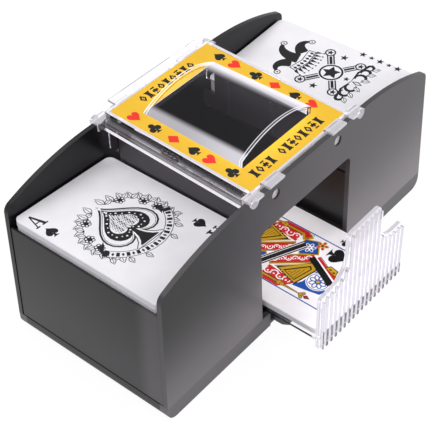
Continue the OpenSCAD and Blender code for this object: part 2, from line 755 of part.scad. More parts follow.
module motor_screws() {
  color("#c9c9cd") for (side = [-1, 1]) hand(side) for (s = [-1, 1]) {
    bar(motor_at + [s * screw_x, 0], plate_y, plate_y + plate_t, 1.8);
    bar(motor_at + [s * screw_x, 0], plate_y + plate_t, plate_y + plate_t + 1, 3.2);
  }
}

module shaft_bushes() {
  color("#c8a951") for (s = [-1, 1], n = [0, 1]) mirror([0, n, 0]) difference() {
    bar([s * roller_x, shaft_z], boss_y, seat_y, bush_d);
    bar([s * roller_x, shaft_z], boss_y - 1, seat_y - 0.1, shaft_d + 2 * running);
  }
}

// ---- wiring ----

// A lead through the given points, with round corners.
module lead(points) {
  for (i = [0:len(points) - 2]) {
    v = points[i + 1] - points[i];
    translate(points[i]) rotate([0, acos(v.z / norm(v)), atan2(v.y, v.x)]) cylinder(d = lead_d, h = norm(v), $fn = 32);
    if (i > 0) translate(points[i]) sphere(d = lead_d, $fn = 32);
  }
}

module wiring() {
  m = motor_at;
  rear = plate_y - 28;           // free ends of the motor tags
  side = box_x + box_l / 2;
  back = box_w / 2;
  // from the battery box to the switch
  color("#b5252a") lead([[side - 3, back, 12], [side - 3, 33, 12], [side - 3, 33, 6], [80, 33, 6], [80, 42.5, 6],
    [85.1, 42.5, 6], [85.1, 42.5, 20], [85.1, 18, 20], [96, 18, 20], [96, 18, 34], [96, 19, 34]]);
  // from the switch to both motors
  color("#b5252a") lead([[90, 19, 34], [90, 17, 34], [90, -1, 34], [-m.x + 6, -1, 34], [-m.x + 6, -1, m.y],
    [-m.x + 6, rear, m.y]]);
  color("#b5252a") lead([[m.x - 6, rear, m.y], [m.x - 6, -1, m.y], [m.x - 6, -1, 21], [side + 0.75, -1, 21],
    [side + 0.75, -1, 5], [-m.x + 6, -1, 5], [-m.x + 6, -1, m.y], [-m.x + 6, rear, m.y]]);
  // returns
  color("#28282b") lead([[-m.x - 6, rear, m.y], [-m.x - 6, 0.8, m.y], [-m.x - 6, 0.8, 8], [42, 0.8, 8],
    [42, 3, 8], [side, 3, 8]]);
  color("#28282b") lead([[m.x + 6, rear, m.y], [m.x + 6, 0.8, m.y], [m.x + 6, 0.8, 19.2]]);
}

base_pan();
front_panel();
back_panel();
hand(-1) end_wall();  // left_end_wall
hand(1) end_wall();  // right_end_wall
hand(-1) tray_floor();  // left_tray_floor
hand(1) tray_floor();  // right_tray_floor
hand(-1) chamber_wall();  // left_chamber_wall
hand(1) chamber_wall();  // right_chamber_wall
hand(-1) gate();  // left_gate
hand(1) gate();  // right_gate
cover();
cover_window();
cover_insert();
battery_box();
battery_door();
batteries();
battery_contacts();
switch_body();
push_button();
drawer();
drawer_deck();
hand(-1) tray_deck(left_deck_t);  // left_deck
hand(1) tray_deck(right_deck_t);  // right_deck
hand(-1) roller_shaft();  // left_roller_shaft
hand(1) roller_shaft();  // right_roller_shaft
hand(-1) feed_rollers();  // left_feed_rollers
hand(1) feed_rollers();  // right_feed_rollers
hand(-1) roller_gear();  // left_roller_gear
hand(1) roller_gear();  // right_roller_gear
hand(-1) idler_gear();  // left_idler_gear
hand(1) idler_gear();  // right_idler_gear
hand(-1) idler_pin();  // left_idler_pin
hand(1) idler_pin();  // right_idler_pin
hand(-1) motor();  // left_motor
hand(1) motor();  // right_motor
hand(-1) spindle();  // left_spindle
hand(1) spindle();  // right_spindle
hand(-1) pinion();  // left_pinion
hand(1) pinion();  // right_pinion
hand(-1) drive_plate();  // left_drive_plate
hand(1) drive_plate();  // right_drive_plate
shaft_bushes();
case_screws();
motor_screws();
rubber_feet();
wiring();
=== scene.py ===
# Automatic card shuffler: the looks of every piece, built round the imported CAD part.
import bpy, bmesh, math, random
import numpy as np
from mathutils import Matrix, Vector
from mathutils.geometry import delaunay_2d_cdt


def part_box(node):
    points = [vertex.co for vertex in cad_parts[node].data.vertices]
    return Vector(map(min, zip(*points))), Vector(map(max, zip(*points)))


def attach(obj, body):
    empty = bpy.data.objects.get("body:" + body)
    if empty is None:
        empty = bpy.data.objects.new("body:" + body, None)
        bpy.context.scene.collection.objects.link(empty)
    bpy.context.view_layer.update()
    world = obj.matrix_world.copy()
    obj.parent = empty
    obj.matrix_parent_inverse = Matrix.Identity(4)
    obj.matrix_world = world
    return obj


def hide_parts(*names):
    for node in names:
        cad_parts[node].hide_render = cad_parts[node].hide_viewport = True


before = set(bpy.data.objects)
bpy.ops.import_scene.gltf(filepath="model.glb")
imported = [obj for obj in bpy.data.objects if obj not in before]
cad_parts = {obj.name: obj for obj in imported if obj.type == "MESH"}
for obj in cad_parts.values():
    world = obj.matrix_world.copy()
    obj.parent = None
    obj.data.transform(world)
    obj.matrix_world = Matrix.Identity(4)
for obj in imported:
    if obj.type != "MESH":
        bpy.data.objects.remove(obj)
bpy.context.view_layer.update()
MM = 0.001

# ======================================================================================
# Studio
# A long lens looks down on the shuffler from its front left corner. Soft boxes hang above
# and around it, and it stands on a pale sweep that keeps a faint contact shadow.
# ======================================================================================
scene = bpy.context.scene
scene.view_settings.view_transform = "Standard"
lens_data = bpy.data.cameras.new("camera")
camera = bpy.data.objects.new("camera", lens_data)
scene.collection.objects.link(camera)
scene.camera = camera
view_right = Vector((0.6313127, -0.77525411, -0.02062377))
view_down = Vector((-0.53823722, -0.41884703, -0.73134661))
view_ahead = Vector((0.55834126, 0.47280888, -0.68169406))
view_from = Vector((-332.666, -281.453, 424.604)) * MM
turned = Matrix((view_right, -view_down, -view_ahead)).transposed().to_4x4()
camera.matrix_world = Matrix.Translation(view_from) @ turned
lens_data.sensor_width = 36.0
lens_data.lens = 96.30
lens_data.shift_x, lens_data.shift_y = -0.0349, 0.0233
lens_data.clip_start, lens_data.clip_end = 0.01, 20
GLOSSY_SHARE = 0.6      # how much of the white studio shows in reflections
FLOOR_GLOW, FLOOR_SHARE = 1.06, 0.88
AMBIENT = 0.45


def shader_of(mat):
    """The node list, the links and the Principled BSDF of a new material."""
    mat.use_nodes = True
    return mat.node_tree.nodes, mat.node_tree.links, mat.node_tree.nodes["Principled BSDF"]


def seen_directly(nodes, links):
    """1 for camera and transmission rays, GLOSSY_SHARE for glossy rays and 0 for the others."""
    rays, soft = nodes.new("ShaderNodeLightPath"), nodes.new("ShaderNodeMath")
    either, any_of = nodes.new("ShaderNodeMath"), nodes.new("ShaderNodeMath")
    either.operation = any_of.operation = "MAXIMUM"
    soft.operation, soft.inputs[1].default_value = "MULTIPLY", GLOSSY_SHARE
    links.new(rays.outputs["Is Glossy Ray"], soft.inputs[0])
    links.new(rays.outputs["Is Camera Ray"], either.inputs[0])
    links.new(soft.outputs[0], either.inputs[1])
    links.new(either.outputs[0], any_of.inputs[0])
    links.new(rays.outputs["Is Transmission Ray"], any_of.inputs[1])
    return any_of.outputs[0]


def sweep():
    """Pale ground, nearly white to the camera, that also lights the part from below."""
    mesh = bpy.data.meshes.new("sweep")
    mesh.from_pydata([(-4, -4, 0), (4, -4, 0), (4, 4, 0), (-4, 4, 0)], [], [(0, 1, 2, 3)])
    floor = bpy.data.objects.new("sweep", mesh)
    scene.collection.objects.link(floor)
    mat = bpy.data.materials.new("sweep")
    nodes, links, skin = shader_of(mat)
    skin.inputs["Base Color"].default_value = (0.88, 0.88, 0.89, 1)
    skin.inputs["Roughness"].default_value = 0.8
    skin.inputs["Specular IOR Level"].default_value = 0.1
    glow, share = nodes.new("ShaderNodeEmission"), nodes.new("ShaderNodeMath")
    mix = nodes.new("ShaderNodeMixShader")
    glow.inputs["Color"].default_value = (1, 1, 1, 1)
    glow.inputs["Strength"].default_value = FLOOR_GLOW
    share.operation = "MULTIPLY"
    share.inputs[1].default_value = FLOOR_SHARE
    links.new(seen_directly(nodes, links), share.inputs[0])
    links.new(share.outputs[0], mix.inputs[0])
    links.new(skin.outputs[0], mix.inputs[1])
    links.new(glow.outputs[0], mix.inputs[2])
    links.new(mix.outputs[0], nodes["Material Output"].inputs["Surface"])
    mesh.materials.append(mat)
    return floor


def soft_box(name, at, aim, width, height, watts):
    """A rectangular lamp at one point that faces another."""
    data = bpy.data.lights.new(name, "AREA")
    data.shape, data.size, data.size_y = "RECTANGLE", width, height
    data.energy = watts
    lamp = bpy.data.objects.new(name, data)
    lamp.location = at
    lamp.rotation_euler = (Vector(aim) - Vector(at)).to_track_quat("-Z", "Y").to_euler()
    scene.collection.objects.link(lamp)


def studio_world():
    """Even grey light, white to the camera and through clear plastic."""
    world = bpy.data.worlds.new("studio")
    scene.world = world
    world.use_nodes = True
    nodes, links = world.node_tree.nodes, world.node_tree.links
    ambient = nodes["Background"]
    white, mix = nodes.new("ShaderNodeBackground"), nodes.new("ShaderNodeMixShader")
    ambient.inputs["Color"].default_value = (0.80, 0.81, 0.84, 1)
    ambient.inputs["Strength"].default_value = AMBIENT
    white.inputs["Color"].default_value = (1, 1, 1, 1)
    white.inputs["Strength"].default_value = 1.0
    links.new(seen_directly(nodes, links), mix.inputs[0])
    links.new(ambient.outputs[0], mix.inputs[1])
    links.new(white.outputs[0], mix.inputs[2])
    links.new(mix.outputs[0], nodes["World Output"].inputs["Surface"])


studio_world()
sweep()
soft_box("top", (-0.12, 0.30, 1.1), (0, 0, 0.05), 1.3, 0.8, 6.7)
soft_box("right", (1.0, -0.5, 0.6), (0, 0, 0.06), 0.7, 0.5, 4.5)
soft_box("front", (0.2, -1.2, 0.5), (0, 0, 0.05), 0.9, 0.5, 4.5)
soft_box("left", (-1.2, -0.2, 0.5), (0, 0, 0.05), 0.6, 0.6, 2.4)

# ======================================================================================
# Base pan, rubber feet and screws
# The pan is moulded in dark grey ABS with a finely sparked face and closes the case from
# below. Rubber pads are let in flush with its underside. Four plated screws hold it, and one
# more holds the battery door.
# ======================================================================================


def new_group(name, inputs, outputs):
    """An empty node group with number inputs. Gives the group, its two ends and coordinates."""
    group = bpy.data.node_groups.new(name, "ShaderNodeTree")
    for label, default in inputs:
        socket = group.interface.new_socket(label, in_out="INPUT", socket_type="NodeSocketFloat")
        socket.default_value = default
    for label, kind in outputs:
        group.interface.new_socket(label, in_out="OUTPUT", socket_type="NodeSocket" + kind)
    ends = [group.nodes.new(k) for k in ("NodeGroupInput", "NodeGroupOutput", "ShaderNodeTexCoord")]
    return group, *ends


def noise_of(group, place, scale, detail, roughness=0.5):
    """The value of a noise over object coordinates, in a node group."""
    noise = group.nodes.new("ShaderNodeTexNoise")
    group.links.new(place.outputs["Object"], noise.inputs["Vector"])
    for socket, value in (("Scale", scale), ("Detail", detail), ("Roughness", roughness)):
        noise.inputs[socket].default_value = value
    return noise.outputs["Fac"]


def bump_of(group, height, strength, distance):
    """A bump node from a height and a strength socket, in a node group."""
    bump = group.nodes.new("ShaderNodeBump")
    bump.inputs["Distance"].default_value = distance
    group.links.new(height, bump.inputs["Height"])
    group.links.new(strength, bump.inputs["Strength"])
    return bump


def spans_of(group, out, noise, *spans):
    """Spreads the middle of a noise over low to high, for each named group output."""
    for name, low, high in spans:
        span = group.nodes.new("ShaderNodeMapRange")
        span.inputs["From Min"].default_value, span.inputs["From Max"].default_value = 0.3, 0.7
        span.inputs["To Min"].default_value, span.inputs["To Max"].default_value = low, high
        group.links.new(noise, span.inputs["Value"])
        group.links.new(span.outputs["Result"], out.inputs[name])


def moulded_group():
    """Moulded face: slow changes of tone and gloss, a fine grain, a slight wave."""
    group, given, out, place = new_group(
        "moulded face", (("Grain", 0.1), ("Wave", 0.05)),
        (("Tone", "Float"), ("Gloss shift", "Float"), ("Normal", "Vector")))
    fine = bump_of(group, noise_of(group, place, 1500, 2), given.outputs["Grain"], 0.0002)
    slow = bump_of(group, noise_of(group, place, 16, 1), given.outputs["Wave"], 0.002)
    group.links.new(slow.outputs["Normal"], fine.inputs["Normal"])
    group.links.new(fine.outputs["Normal"], out.inputs["Normal"])
    blotch = noise_of(group, place, 22, 5, 0.6)
    spans_of(group, out, blotch, ("Tone", 0.0, 1.0), ("Gloss shift", -0.05, 0.06))
    return group


MOULDED = moulded_group()


def blend(mat, factor, first, second):
    """A mix of two colours by a factor. The first may be a socket."""
    nodes, links = mat.node_tree.nodes, mat.node_tree.links
    mix = nodes.new("ShaderNodeMix")
    mix.data_type = "RGBA"
    links.new(factor, mix.inputs["Factor"])
    low, high = [socket for socket in mix.inputs if socket.type == "RGBA"]
    if isinstance(first, bpy.types.NodeSocket):
        links.new(first, low)
    else:
        low.default_value = (*first, 1)
    high.default_value = (*second, 1)
    return next(socket for socket in mix.outputs if socket.type == "RGBA")


def finish_of(name, colour, rough, grain=0.12, wave=0.03, spread=0.08, metal=0.0, coat=0.0,
              clear=False, ior=1.5):
    """A material of one colour that carries the moulded face with its own values."""
    mat = bpy.data.materials.new(name)
    nodes, links, skin = shader_of(mat)
    skin.inputs["Metallic"].default_value = metal
    skin.inputs["IOR"].default_value = ior
    skin.inputs["Coat Weight"].default_value = coat
    skin.inputs["Coat Roughness"].default_value = 0.1
    skin.inputs["Transmission Weight"].default_value = 1.0 if clear else 0.0
    face, gloss = nodes.new("ShaderNodeGroup"), nodes.new("ShaderNodeMath")
    face.node_tree = MOULDED
    face.inputs["Grain"].default_value = grain
    face.inputs["Wave"].default_value = wave
    ends = [[max(0.0, min(1.0, c * k)) for c in colour] for k in (1 - spread, 1 + spread)]
    links.new(blend(mat, face.outputs["Tone"], *ends), skin.inputs["Base Color"])
    gloss.operation = "MULTIPLY_ADD"
    gloss.inputs[1].default_value = min(1.0, rough * 2.5)
    gloss.inputs[2].default_value = rough
    links.new(face.outputs["Gloss shift"], gloss.inputs[0])
    links.new(gloss.outputs[0], skin.inputs["Roughness"])
    links.new(face.outputs["Normal"], skin.inputs["Normal"])
    return mat


def calc(mat, kind, *values, clamp=False):
    """A Math node over sockets and constants."""
    node = mat.node_tree.nodes.new("ShaderNodeMath")
    node.operation, node.use_clamp = kind, clamp
    for k, value in enumerate(values):
        if isinstance(value, (int, float)):
            node.inputs[k].default_value = value
        else:
            mat.node_tree.links.new(value, node.inputs[k])
    return node.outputs[0]


def surface_of(mat):
    """Object coordinates x, y, z and the normal's x, y, z."""
    found = []
    for kind, name in (("ShaderNodeTexCoord", "Object"), ("ShaderNodeNewGeometry", "Normal")):
        source = mat.node_tree.nodes.new(kind)
        parts = mat.node_tree.nodes.new("ShaderNodeSeparateXYZ")
        mat.node_tree.links.new(source.outputs[name], parts.inputs[0])
        found += list(parts.outputs)
    return found


def ramp(mat, value, low, high):
    """A soft step from 0 at low to 1 at high, or down when low is above high."""
    node = mat.node_tree.nodes.new("ShaderNodeMapRange")
    node.interpolation_type = "SMOOTHSTEP"
    mat.node_tree.links.new(value, node.inputs["Value"])
    ends = (low, high, 0, 1) if high > low else (high, low, 1, 0)
    for socket, end in zip(("From Min", "From Max", "To Min", "To Max"), ends):
        node.inputs[socket].default_value = end
    return node.outputs["Result"]


def product(mat, first, *others):
    """Masks and constants multiplied together."""
    for other in others:
        first = calc(mat, "MULTIPLY", first, other)
    return first


def total(mat, first, *others):
    """Masks added up, at most 1."""
    for other in others:
        first = calc(mat, "ADD", first, other, clamp=True)
    return first


def shaded(mat, share, colour):
    """Paints light or shade into a material's base colour: carries a masked share of it over to another
    colour.
    """
    base = mat.node_tree.nodes["Principled BSDF"].inputs["Base Color"]
    mat.node_tree.links.new(blend(mat, share, base.links[0].from_socket, colour), base)


def dress(mat, *names, edge):
    """Puts a material on CAD nodes and rounds their edges as moulding does."""
    for name in names:
        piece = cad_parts[name]
        for slot in piece.material_slots:
            slot.material = mat
        if edge:
            piece.modifiers.new("weld", "WELD").merge_threshold = 2e-6
            bevel = piece.modifiers.new("edge", "BEVEL")
            bevel.width, bevel.segments = edge * MM, 3
            bevel.limit_method, bevel.angle_limit = "ANGLE", math.radians(40)
            bevel.use_clamp_overlap, bevel.miter_outer = True, "MITER_ARC"
            piece.modifiers.new("shade", "WEIGHTED_NORMAL").keep_sharp = True


grey_abs = finish_of("grey ABS", (0.105, 0.098, 0.105), 0.40, grain=0.16)
_, y, z, *_ = surface_of(grey_abs)
# Painted shade: the pan's inside faces, above its floor and within the case, go near black.
within_case = ramp(grey_abs, calc(grey_abs, "ABSOLUTE", y), 0.0440, 0.0436)
painted_shade_inside = product(grey_abs, ramp(grey_abs, z, 0.0016, 0.0020), within_case)
shaded(grey_abs, painted_shade_inside, (0.010, 0.009, 0.011))
rubber = finish_of("black rubber", (0.018, 0.018, 0.020), 0.65, grain=0.4)
zinc = finish_of("zinc plate", (0.62, 0.62, 0.65), 0.28, metal=1.0, grain=0.05)
dress(grey_abs, "base_pan", edge=0.3)
dress(rubber, "rubber_feet", edge=0)
dress(zinc, "case_screws", edge=0.12)

# ======================================================================================
# Batteries, battery box and door
# Four AA cells lie side by side under the left tray in a black ABS box with plated springs
# and studs. The door closes it from below and is held by one screw.
# ======================================================================================
black_abs = finish_of("black ABS", (0.006, 0.006, 0.0065), 0.34, grain=0.12, spread=0.12)
dress(black_abs, "battery_box", "battery_door", edge=0.2)
dress(zinc, "battery_contacts", edge=0)
sleeve = finish_of("cell sleeve", (0.03, 0.09, 0.26), 0.22, metal=0.35, grain=0.04, spread=0.15)
dress(sleeve, "batteries", edge=0)

# ======================================================================================
# Chamber walls and tray floors
# Near-black ABS mouldings. The walls stand on the pan either side of the card chamber and
# carry the drawer's channels; the sloping floors hold the decks over the feed rollers.
# ======================================================================================
for hand in ("left", "right"):
    dress(black_abs, hand + "_tray_floor", hand + "_chamber_wall", edge=0.2)

# ======================================================================================
# Feed drive
# On each side a steel shaft with two rubber rollers turns in brass bushes. Acetal gears
# drive it from a small can motor that is screwed to a black plate.
# ======================================================================================
acetal = finish_of("white acetal", (0.74, 0.72, 0.66), 0.38)
brass = finish_of("turned brass", (0.70, 0.50, 0.20), 0.25, metal=1.0, grain=0.05)
steel = finish_of("ground steel", (0.56, 0.56, 0.58), 0.22, metal=1.0, grain=0.04)
for hand in ("left", "right"):
    dress(steel, hand + "_roller_shaft", hand + "_idler_pin", hand + "_spindle", edge=0)
    dress(rubber, hand + "_feed_rollers", edge=0)
    dress(acetal, hand + "_roller_gear", hand + "_idler_gear", hand + "_pinion", edge=0)
    dress(zinc, hand + "_motor", edge=0.2)
    dress(black_abs, hand + "_drive_plate", edge=0)
dress(brass, "shaft_bushes", edge=0)
dress(zinc, "motor_screws", edge=0.1)

# ======================================================================================
# Switch, push button and wiring
# The red button stands in the back panel and works a switch on a bracket behind it. Leads in
# red sleeves join battery box, switch and motors; three cross between pan and drawer.
# ======================================================================================
dress(black_abs, "switch_body", edge=0.2)
dress(finish_of("red ABS", (0.42, 0.02, 0.02), 0.24, coat=0.2), "push_button", edge=0.5)
dress(finish_of("red sleeve", (0.35, 0.02, 0.02), 0.4), "wiring", edge=0)

# ======================================================================================
# Side panels and end walls
# The panels are semi-gloss charcoal ABS with an arched top edge; the front one has the drawer
# opening. Flat end walls close the case between them, a little behind the panels' ends.
# ======================================================================================
charcoal = finish_of("charcoal ABS", (0.0105, 0.0095, 0.0105), 0.30, grain=0.08, wave=0.05)
charcoal.node_tree.nodes["Principled BSDF"].inputs["Specular IOR Level"].default_value = 0.27
x, y, z, _, ny, _ = surface_of(charcoal)
# Painted light: the panels go paler towards the bottom, on the front face, towards the right and on the
# front panel's top and end faces, where the lamps fall.
fall = ramp(charcoal, z, 0.078, 0.002)
facing = ramp(charcoal, ny, -0.5, -0.8)
front = product(charcoal, facing, ramp(charcoal, y, -0.020, -0.030))
across = ramp(charcoal, x, -0.075, 0.020)
turned_up = ramp(charcoal, calc(charcoal, "ABSOLUTE", ny), 0.6, 0.4)
rim = product(charcoal, turned_up, ramp(charcoal, y, -0.030, -0.040))
painted_light = total(charcoal, product(charcoal, fall, 0.13), product(charcoal, front, fall, fall, 0.40),
              product(charcoal, front, across, 0.21), product(charcoal, rim, 0.16))
shaded(charcoal, painted_light, (0.315, 0.290, 0.305))
# Painted shade: the back panel's inner face goes near black.
painted_shade_back_inside = product(charcoal, facing, ramp(charcoal, y, 0.030, 0.040))
shaded(charcoal, painted_shade_back_inside, (0.001, 0.001, 0.002))
dress(charcoal, "front_panel", "back_panel", "left_end_wall", "right_end_wall", edge=0.45)

# ======================================================================================
# Gates
# Charcoal ABS plates between each tray and the chamber; a card slips under their lower edge.
# ======================================================================================
# Painted light: the gates carry a lighter copy of the charcoal, standing in for the light that falls on
# them.
gate_abs_painted_lighter = finish_of("gate ABS painted lighter", (0.030, 0.027, 0.033), 0.30, grain=0.08, wave=0.05)
dress(gate_abs_painted_lighter, "left_gate", "right_gate", edge=0.3)

# ======================================================================================
# Clear cover
# Injection moulded clear styrene. The top slopes up to the back and has stepped skirts and
# corner ears over the panels; the arched window's crest is level. Four bosses snap into the
# panels' holes. Both pieces let light through and so cast no shadow.
# ======================================================================================
COVER_SLOPE = 0.0577       # rise of the top per length towards the back
COVER_TOP = 0.09175        # height of the top's plane over the middle


def paint_glow_and_shade(mat, clear, *parts):
    """Paints light and shade on parts of clear plastic, each a mask with the strength of its painted glow,
    which is emission, and the share of its painted shade, a darker base colour.
    """
    painted_glow_colour, painted_shade_colour = (0.94, 0.91, 0.98), (0.06, 0.05, 0.08)
    nodes, links = mat.node_tree.nodes, mat.node_tree.links
    shine, depth = [total(mat, *[product(mat, mask, part[k]) for mask, *part in parts]) for k in (0, 1)]
    back = nodes.new("ShaderNodeNewGeometry").outputs["Backfacing"]
    light = nodes.new("ShaderNodeVectorMath")
    light.operation = "SCALE"
    light.inputs[0].default_value = painted_glow_colour
    links.new(calc(mat, "MULTIPLY", shine, calc(mat, "SUBTRACT", 1.0, back)), light.inputs["Scale"])
    skin = nodes["Principled BSDF"]
    links.new(light.outputs[0], skin.inputs["Emission Color"])
    skin.inputs["Emission Strength"].default_value = 1.0
    mat.cycles.emission_sampling = "NONE"
    links.new(blend(mat, depth, clear, painted_shade_colour), skin.inputs["Base Color"])


def between(mat, value, low, high, soft=0.2):
    """The two soft steps at the ends of a span, in millimetres, for a product."""
    return (ramp(mat, value, (low - soft) * MM, (low + soft) * MM),
            ramp(mat, value, (high + soft) * MM, (high - soft) * MM))


def cover_styrene():
    """Clear styrene with painted glow and painted shade on its steps, lips and legs, by their depth below
    the sloping top.
    """
    clear = (0.97, 0.965, 0.985)
    mat = finish_of("clear styrene", clear, 0.03, grain=0.0, wave=0.02, clear=True, ior=1.40)
    _, y, z, _, _, nz = surface_of(mat)
    depth = calc(mat, "SUBTRACT", calc(mat, "MULTIPLY_ADD", y, COVER_SLOPE, COVER_TOP), z)
    inside = ramp(mat, calc(mat, "ABSOLUTE", y), 0.0437, 0.0433)
    up, wall = ramp(mat, nz, 0.6, 0.8), ramp(mat, calc(mat, "ABSOLUTE", nz), 0.7, 0.4)
    plate = product(mat, up, inside, ramp(mat, depth, 0.0014, 0.0010))
    ledge = product(mat, up, inside, *between(mat, depth, 3.8, 6.0))
    lip = product(mat, inside, *between(mat, depth, 9.2, 11.0))
    skirt = product(mat, wall, inside, *between(mat, depth, 3.2, 9.2))
    lit = product(mat, skirt, ramp(mat, y, 0.030, 0.018), ramp(mat, depth, 0.0052, 0.0056))
    step = product(mat, wall, inside, *between(mat, depth, 1.4, 4.4))
    legs = product(mat, ramp(mat, depth, 0.0112, 0.0118), ramp(mat, y, -0.030, -0.036))
    outside = calc(mat, "SUBTRACT", 1.0, inside)
    back, edges = product(mat, up, outside), product(mat, wall, outside)
    # Each part: its mask, the strength of its painted glow and the share of its painted shade.
    paint_glow_and_shade(mat, clear, (plate, 0.75, 0.7), (ledge, 0.62, 0.8), (lip, 0.85, 0.9), (lit, 0.16, 0.4),
         (skirt, 0.03, 0.35), (step, 0.03, 0.9), (legs, 0.45, 0.5), (back, 0.50, 0.5),
         (edges, 0.34, 0.65))
    return mat


def window_styrene():
    """Clear styrene with a painted highlight where the arch turns down at its sides and along its rims, and
    a faint painted glow all over.
    """
    clear = (0.98, 0.975, 0.99)
    mat = finish_of("window styrene", clear, 0.02, grain=0.0, wave=0.0, clear=True, ior=1.01)
    _, y, z, nx, ny, _ = surface_of(mat)
    left = ramp(mat, nx, -0.42, -0.48)
    front = product(mat, left, ramp(mat, y, 0.010, -0.030))
    right = ramp(mat, nx, 0.22, 0.44)
    slid = calc(mat, "MULTIPLY_ADD", z, COVER_SLOPE, -0.00529)
    along = calc(mat, "ABSOLUTE", calc(mat, "ADD", y, slid))
    rim = calc(mat, "MAXIMUM", ramp(mat, along, 0.0293, 0.0295),
               product(mat, *between(mat, along, 28.1, 28.6, soft=0.1)))
    rim = product(mat, rim, ramp(mat, calc(mat, "ABSOLUTE", ny), 0.9, 0.7))
    faint_painted_glow, crown = ramp(mat, nx, -1.4, -1.2), ramp(mat, nx, -0.10, 0.24)
    paint_glow_and_shade(mat, clear, (left, 0.50, 0.6), (front, 0.22, 0.2), (right, 0.94, 0.95), (rim, 0.80, 0.8),
         (faint_painted_glow, 0.020, 0.0), (crown, 0.016, 0.05))
    return mat


dress(cover_styrene(), "cover", edge=0.2)
dress(window_styrene(), "cover_window", edge=0.3)
for name in ("cover", "cover_window"):
    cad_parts[name].visible_shadow = False

# ======================================================================================
# Printed insert
# A die-cut yellow card with suit pips down both sides and a scroll border across both ends.
# It lies in a recess of the cover, round the window.
# ======================================================================================


def print_group():
    """Coated, printed paper: faint ink mottle, a soft tooth and small changes of gloss."""
    group, given, out, place = new_group(
        "printed paper", (("Tooth", 0.05),),
        (("Mottle", "Float"), ("Gloss shift", "Float"), ("Normal", "Vector")))
    bump = bump_of(group, noise_of(group, place, 2600, 2), given.outputs["Tooth"], 0.0001)
    group.links.new(bump.outputs["Normal"], out.inputs["Normal"])
    mottle = noise_of(group, place, 60, 6)
    spans_of(group, out, mottle, ("Mottle", 0.0, 1.0), ("Gloss shift", -0.04, 0.05))
    return group


PRINTED = print_group()


def ink(name, colour, rough, spread=0.04, tooth=0.05):
    """Paper or ink of one colour, carrying the printed paper group."""
    mat = bpy.data.materials.new(name)
    nodes, links, skin = shader_of(mat)
    skin.inputs["Specular IOR Level"].default_value = 0.22
    skin.inputs["Coat Weight"].default_value = 0.04
    skin.inputs["Coat Roughness"].default_value = 0.25
    face, gloss = nodes.new("ShaderNodeGroup"), nodes.new("ShaderNodeMath")
    face.node_tree = PRINTED
    face.inputs["Tooth"].default_value = tooth
    ends = [[min(1.0, c * k) for c in colour] for k in (1 - spread, 1 + spread)]
    links.new(blend(mat, face.outputs["Mottle"], *ends), skin.inputs["Base Color"])
    gloss.inputs[1].default_value = rough
    links.new(face.outputs["Gloss shift"], gloss.inputs[0])
    links.new(gloss.outputs[0], skin.inputs["Roughness"])
    links.new(face.outputs["Normal"], skin.inputs["Normal"])
    return mat


# Outlines are lists of (x, y) in millimetres. Artwork is a list of (ink number, outline),
# printed in that order, so that a later one covers an earlier one.


def ring(cx, cy, r, n=20, ry=None, turn=0.0):
    """A circle or ellipse."""
    ry = ry or r
    c, s = math.cos(turn), math.sin(turn)
    points = [(r * math.cos(2 * math.pi * k / n), ry * math.sin(2 * math.pi * k / n)) for k in range(n)]
    return [(cx + x * c - y * s, cy + x * s + y * c) for x, y in points]


def moved(outline, cx=0.0, cy=0.0, sx=1.0, sy=None, turn=0.0):
    """An outline scaled, turned by degrees and moved."""
    sy = sx if sy is None else sy
    c, s = math.cos(math.radians(turn)), math.sin(math.radians(turn))
    return [(cx + x * sx * c - y * sy * s, cy + x * sx * s + y * sy * c) for x, y in outline]


def lozenge(half_width, half_height):
    """An upright lozenge about the origin."""
    return [(0, half_height), (half_width, 0), (0, -half_height), (-half_width, 0)]


def art(layers, **place):
    """Artwork moved as outlines are."""
    return [(number, moved(outline, **place)) for number, outline in layers]


def stroke(path, width, taper=0.0):
    """A line of ink along a path, narrowing to its ends by the share taper."""
    left, right = [], []
    last = len(path) - 1
    for k, (x, y) in enumerate(path):
        x0, y0 = path[max(0, k - 1)]
        x1, y1 = path[min(last, k + 1)]
        d = math.hypot(x1 - x0, y1 - y0) or 1.0
        nx, ny = -(y1 - y0) / d, (x1 - x0) / d
        half = width / 2 * (1 - taper * abs(2 * k / last - 1) ** 2)
        left.append((x + nx * half, y + ny * half))
        right.append((x - nx * half, y - ny * half))
    return left + right[::-1]


def arc(cx, cy, r, a0, a1, n=16, ry=None):
    """Points along an arc between two angles in degrees."""
    ry = ry or r
    return [(cx + r * math.cos(math.radians(a0 + (a1 - a0) * k / n)),
             cy + ry * math.sin(math.radians(a0 + (a1 - a0) * k / n))) for k in range(n + 1)]


def heart_point(t):
    """A point of a heart, point down, that is one wide and one high about the origin."""
    x = 16 * math.sin(t) ** 3
    y = 13 * math.cos(t) - 5 * math.cos(2 * t) - 2 * math.cos(3 * t) - math.cos(4 * t)
    return x / 32, (y + 2.5) / 29


HEART = [heart_point(2 * math.pi * k / 36) for k in range(36)]
STEM = [(-0.30, -0.5), (-0.12, -0.40), (-0.045, -0.16), (0.045, -0.16), (0.12, -0.40), (0.30, -0.5)]


def pip(suit, number):
    """A suit's sign in one ink, one wide and one high about the origin."""
    if suit == "heart":
        return [(number, HEART)]
    if suit == "diamond":
        return [(number, lozenge(0.46, 0.5))]
    if suit == "spade":
        return [(number, [(x, 0.09 - y * 0.82) for x, y in HEART]), (number, STEM)]
    balls = [(0, 0.26), (-0.26, -0.10), (0.26, -0.10)]
    leaves = [(number, ring(x, y, 0.24)) for x, y in balls]
    return leaves + [(number, ring(0, 0.02, 0.13)), (number, STEM)]


def within(spots, outline):
    """Which of an array of points lie inside an outline, by winding number."""
    turns = np.zeros(len(spots), int)
    for (x0, y0), (x1, y1) in zip(outline, outline[1:] + outline[:1]):
        side = (x1 - x0) * (spots[:, 1] - y0) - (spots[:, 0] - x0) * (y1 - y0)
        turns += (y0 <= spots[:, 1]) & (y1 > spots[:, 1]) & (side > 0)
        turns -= (y0 > spots[:, 1]) & (y1 <= spots[:, 1]) & (side < 0)
    return turns != 0


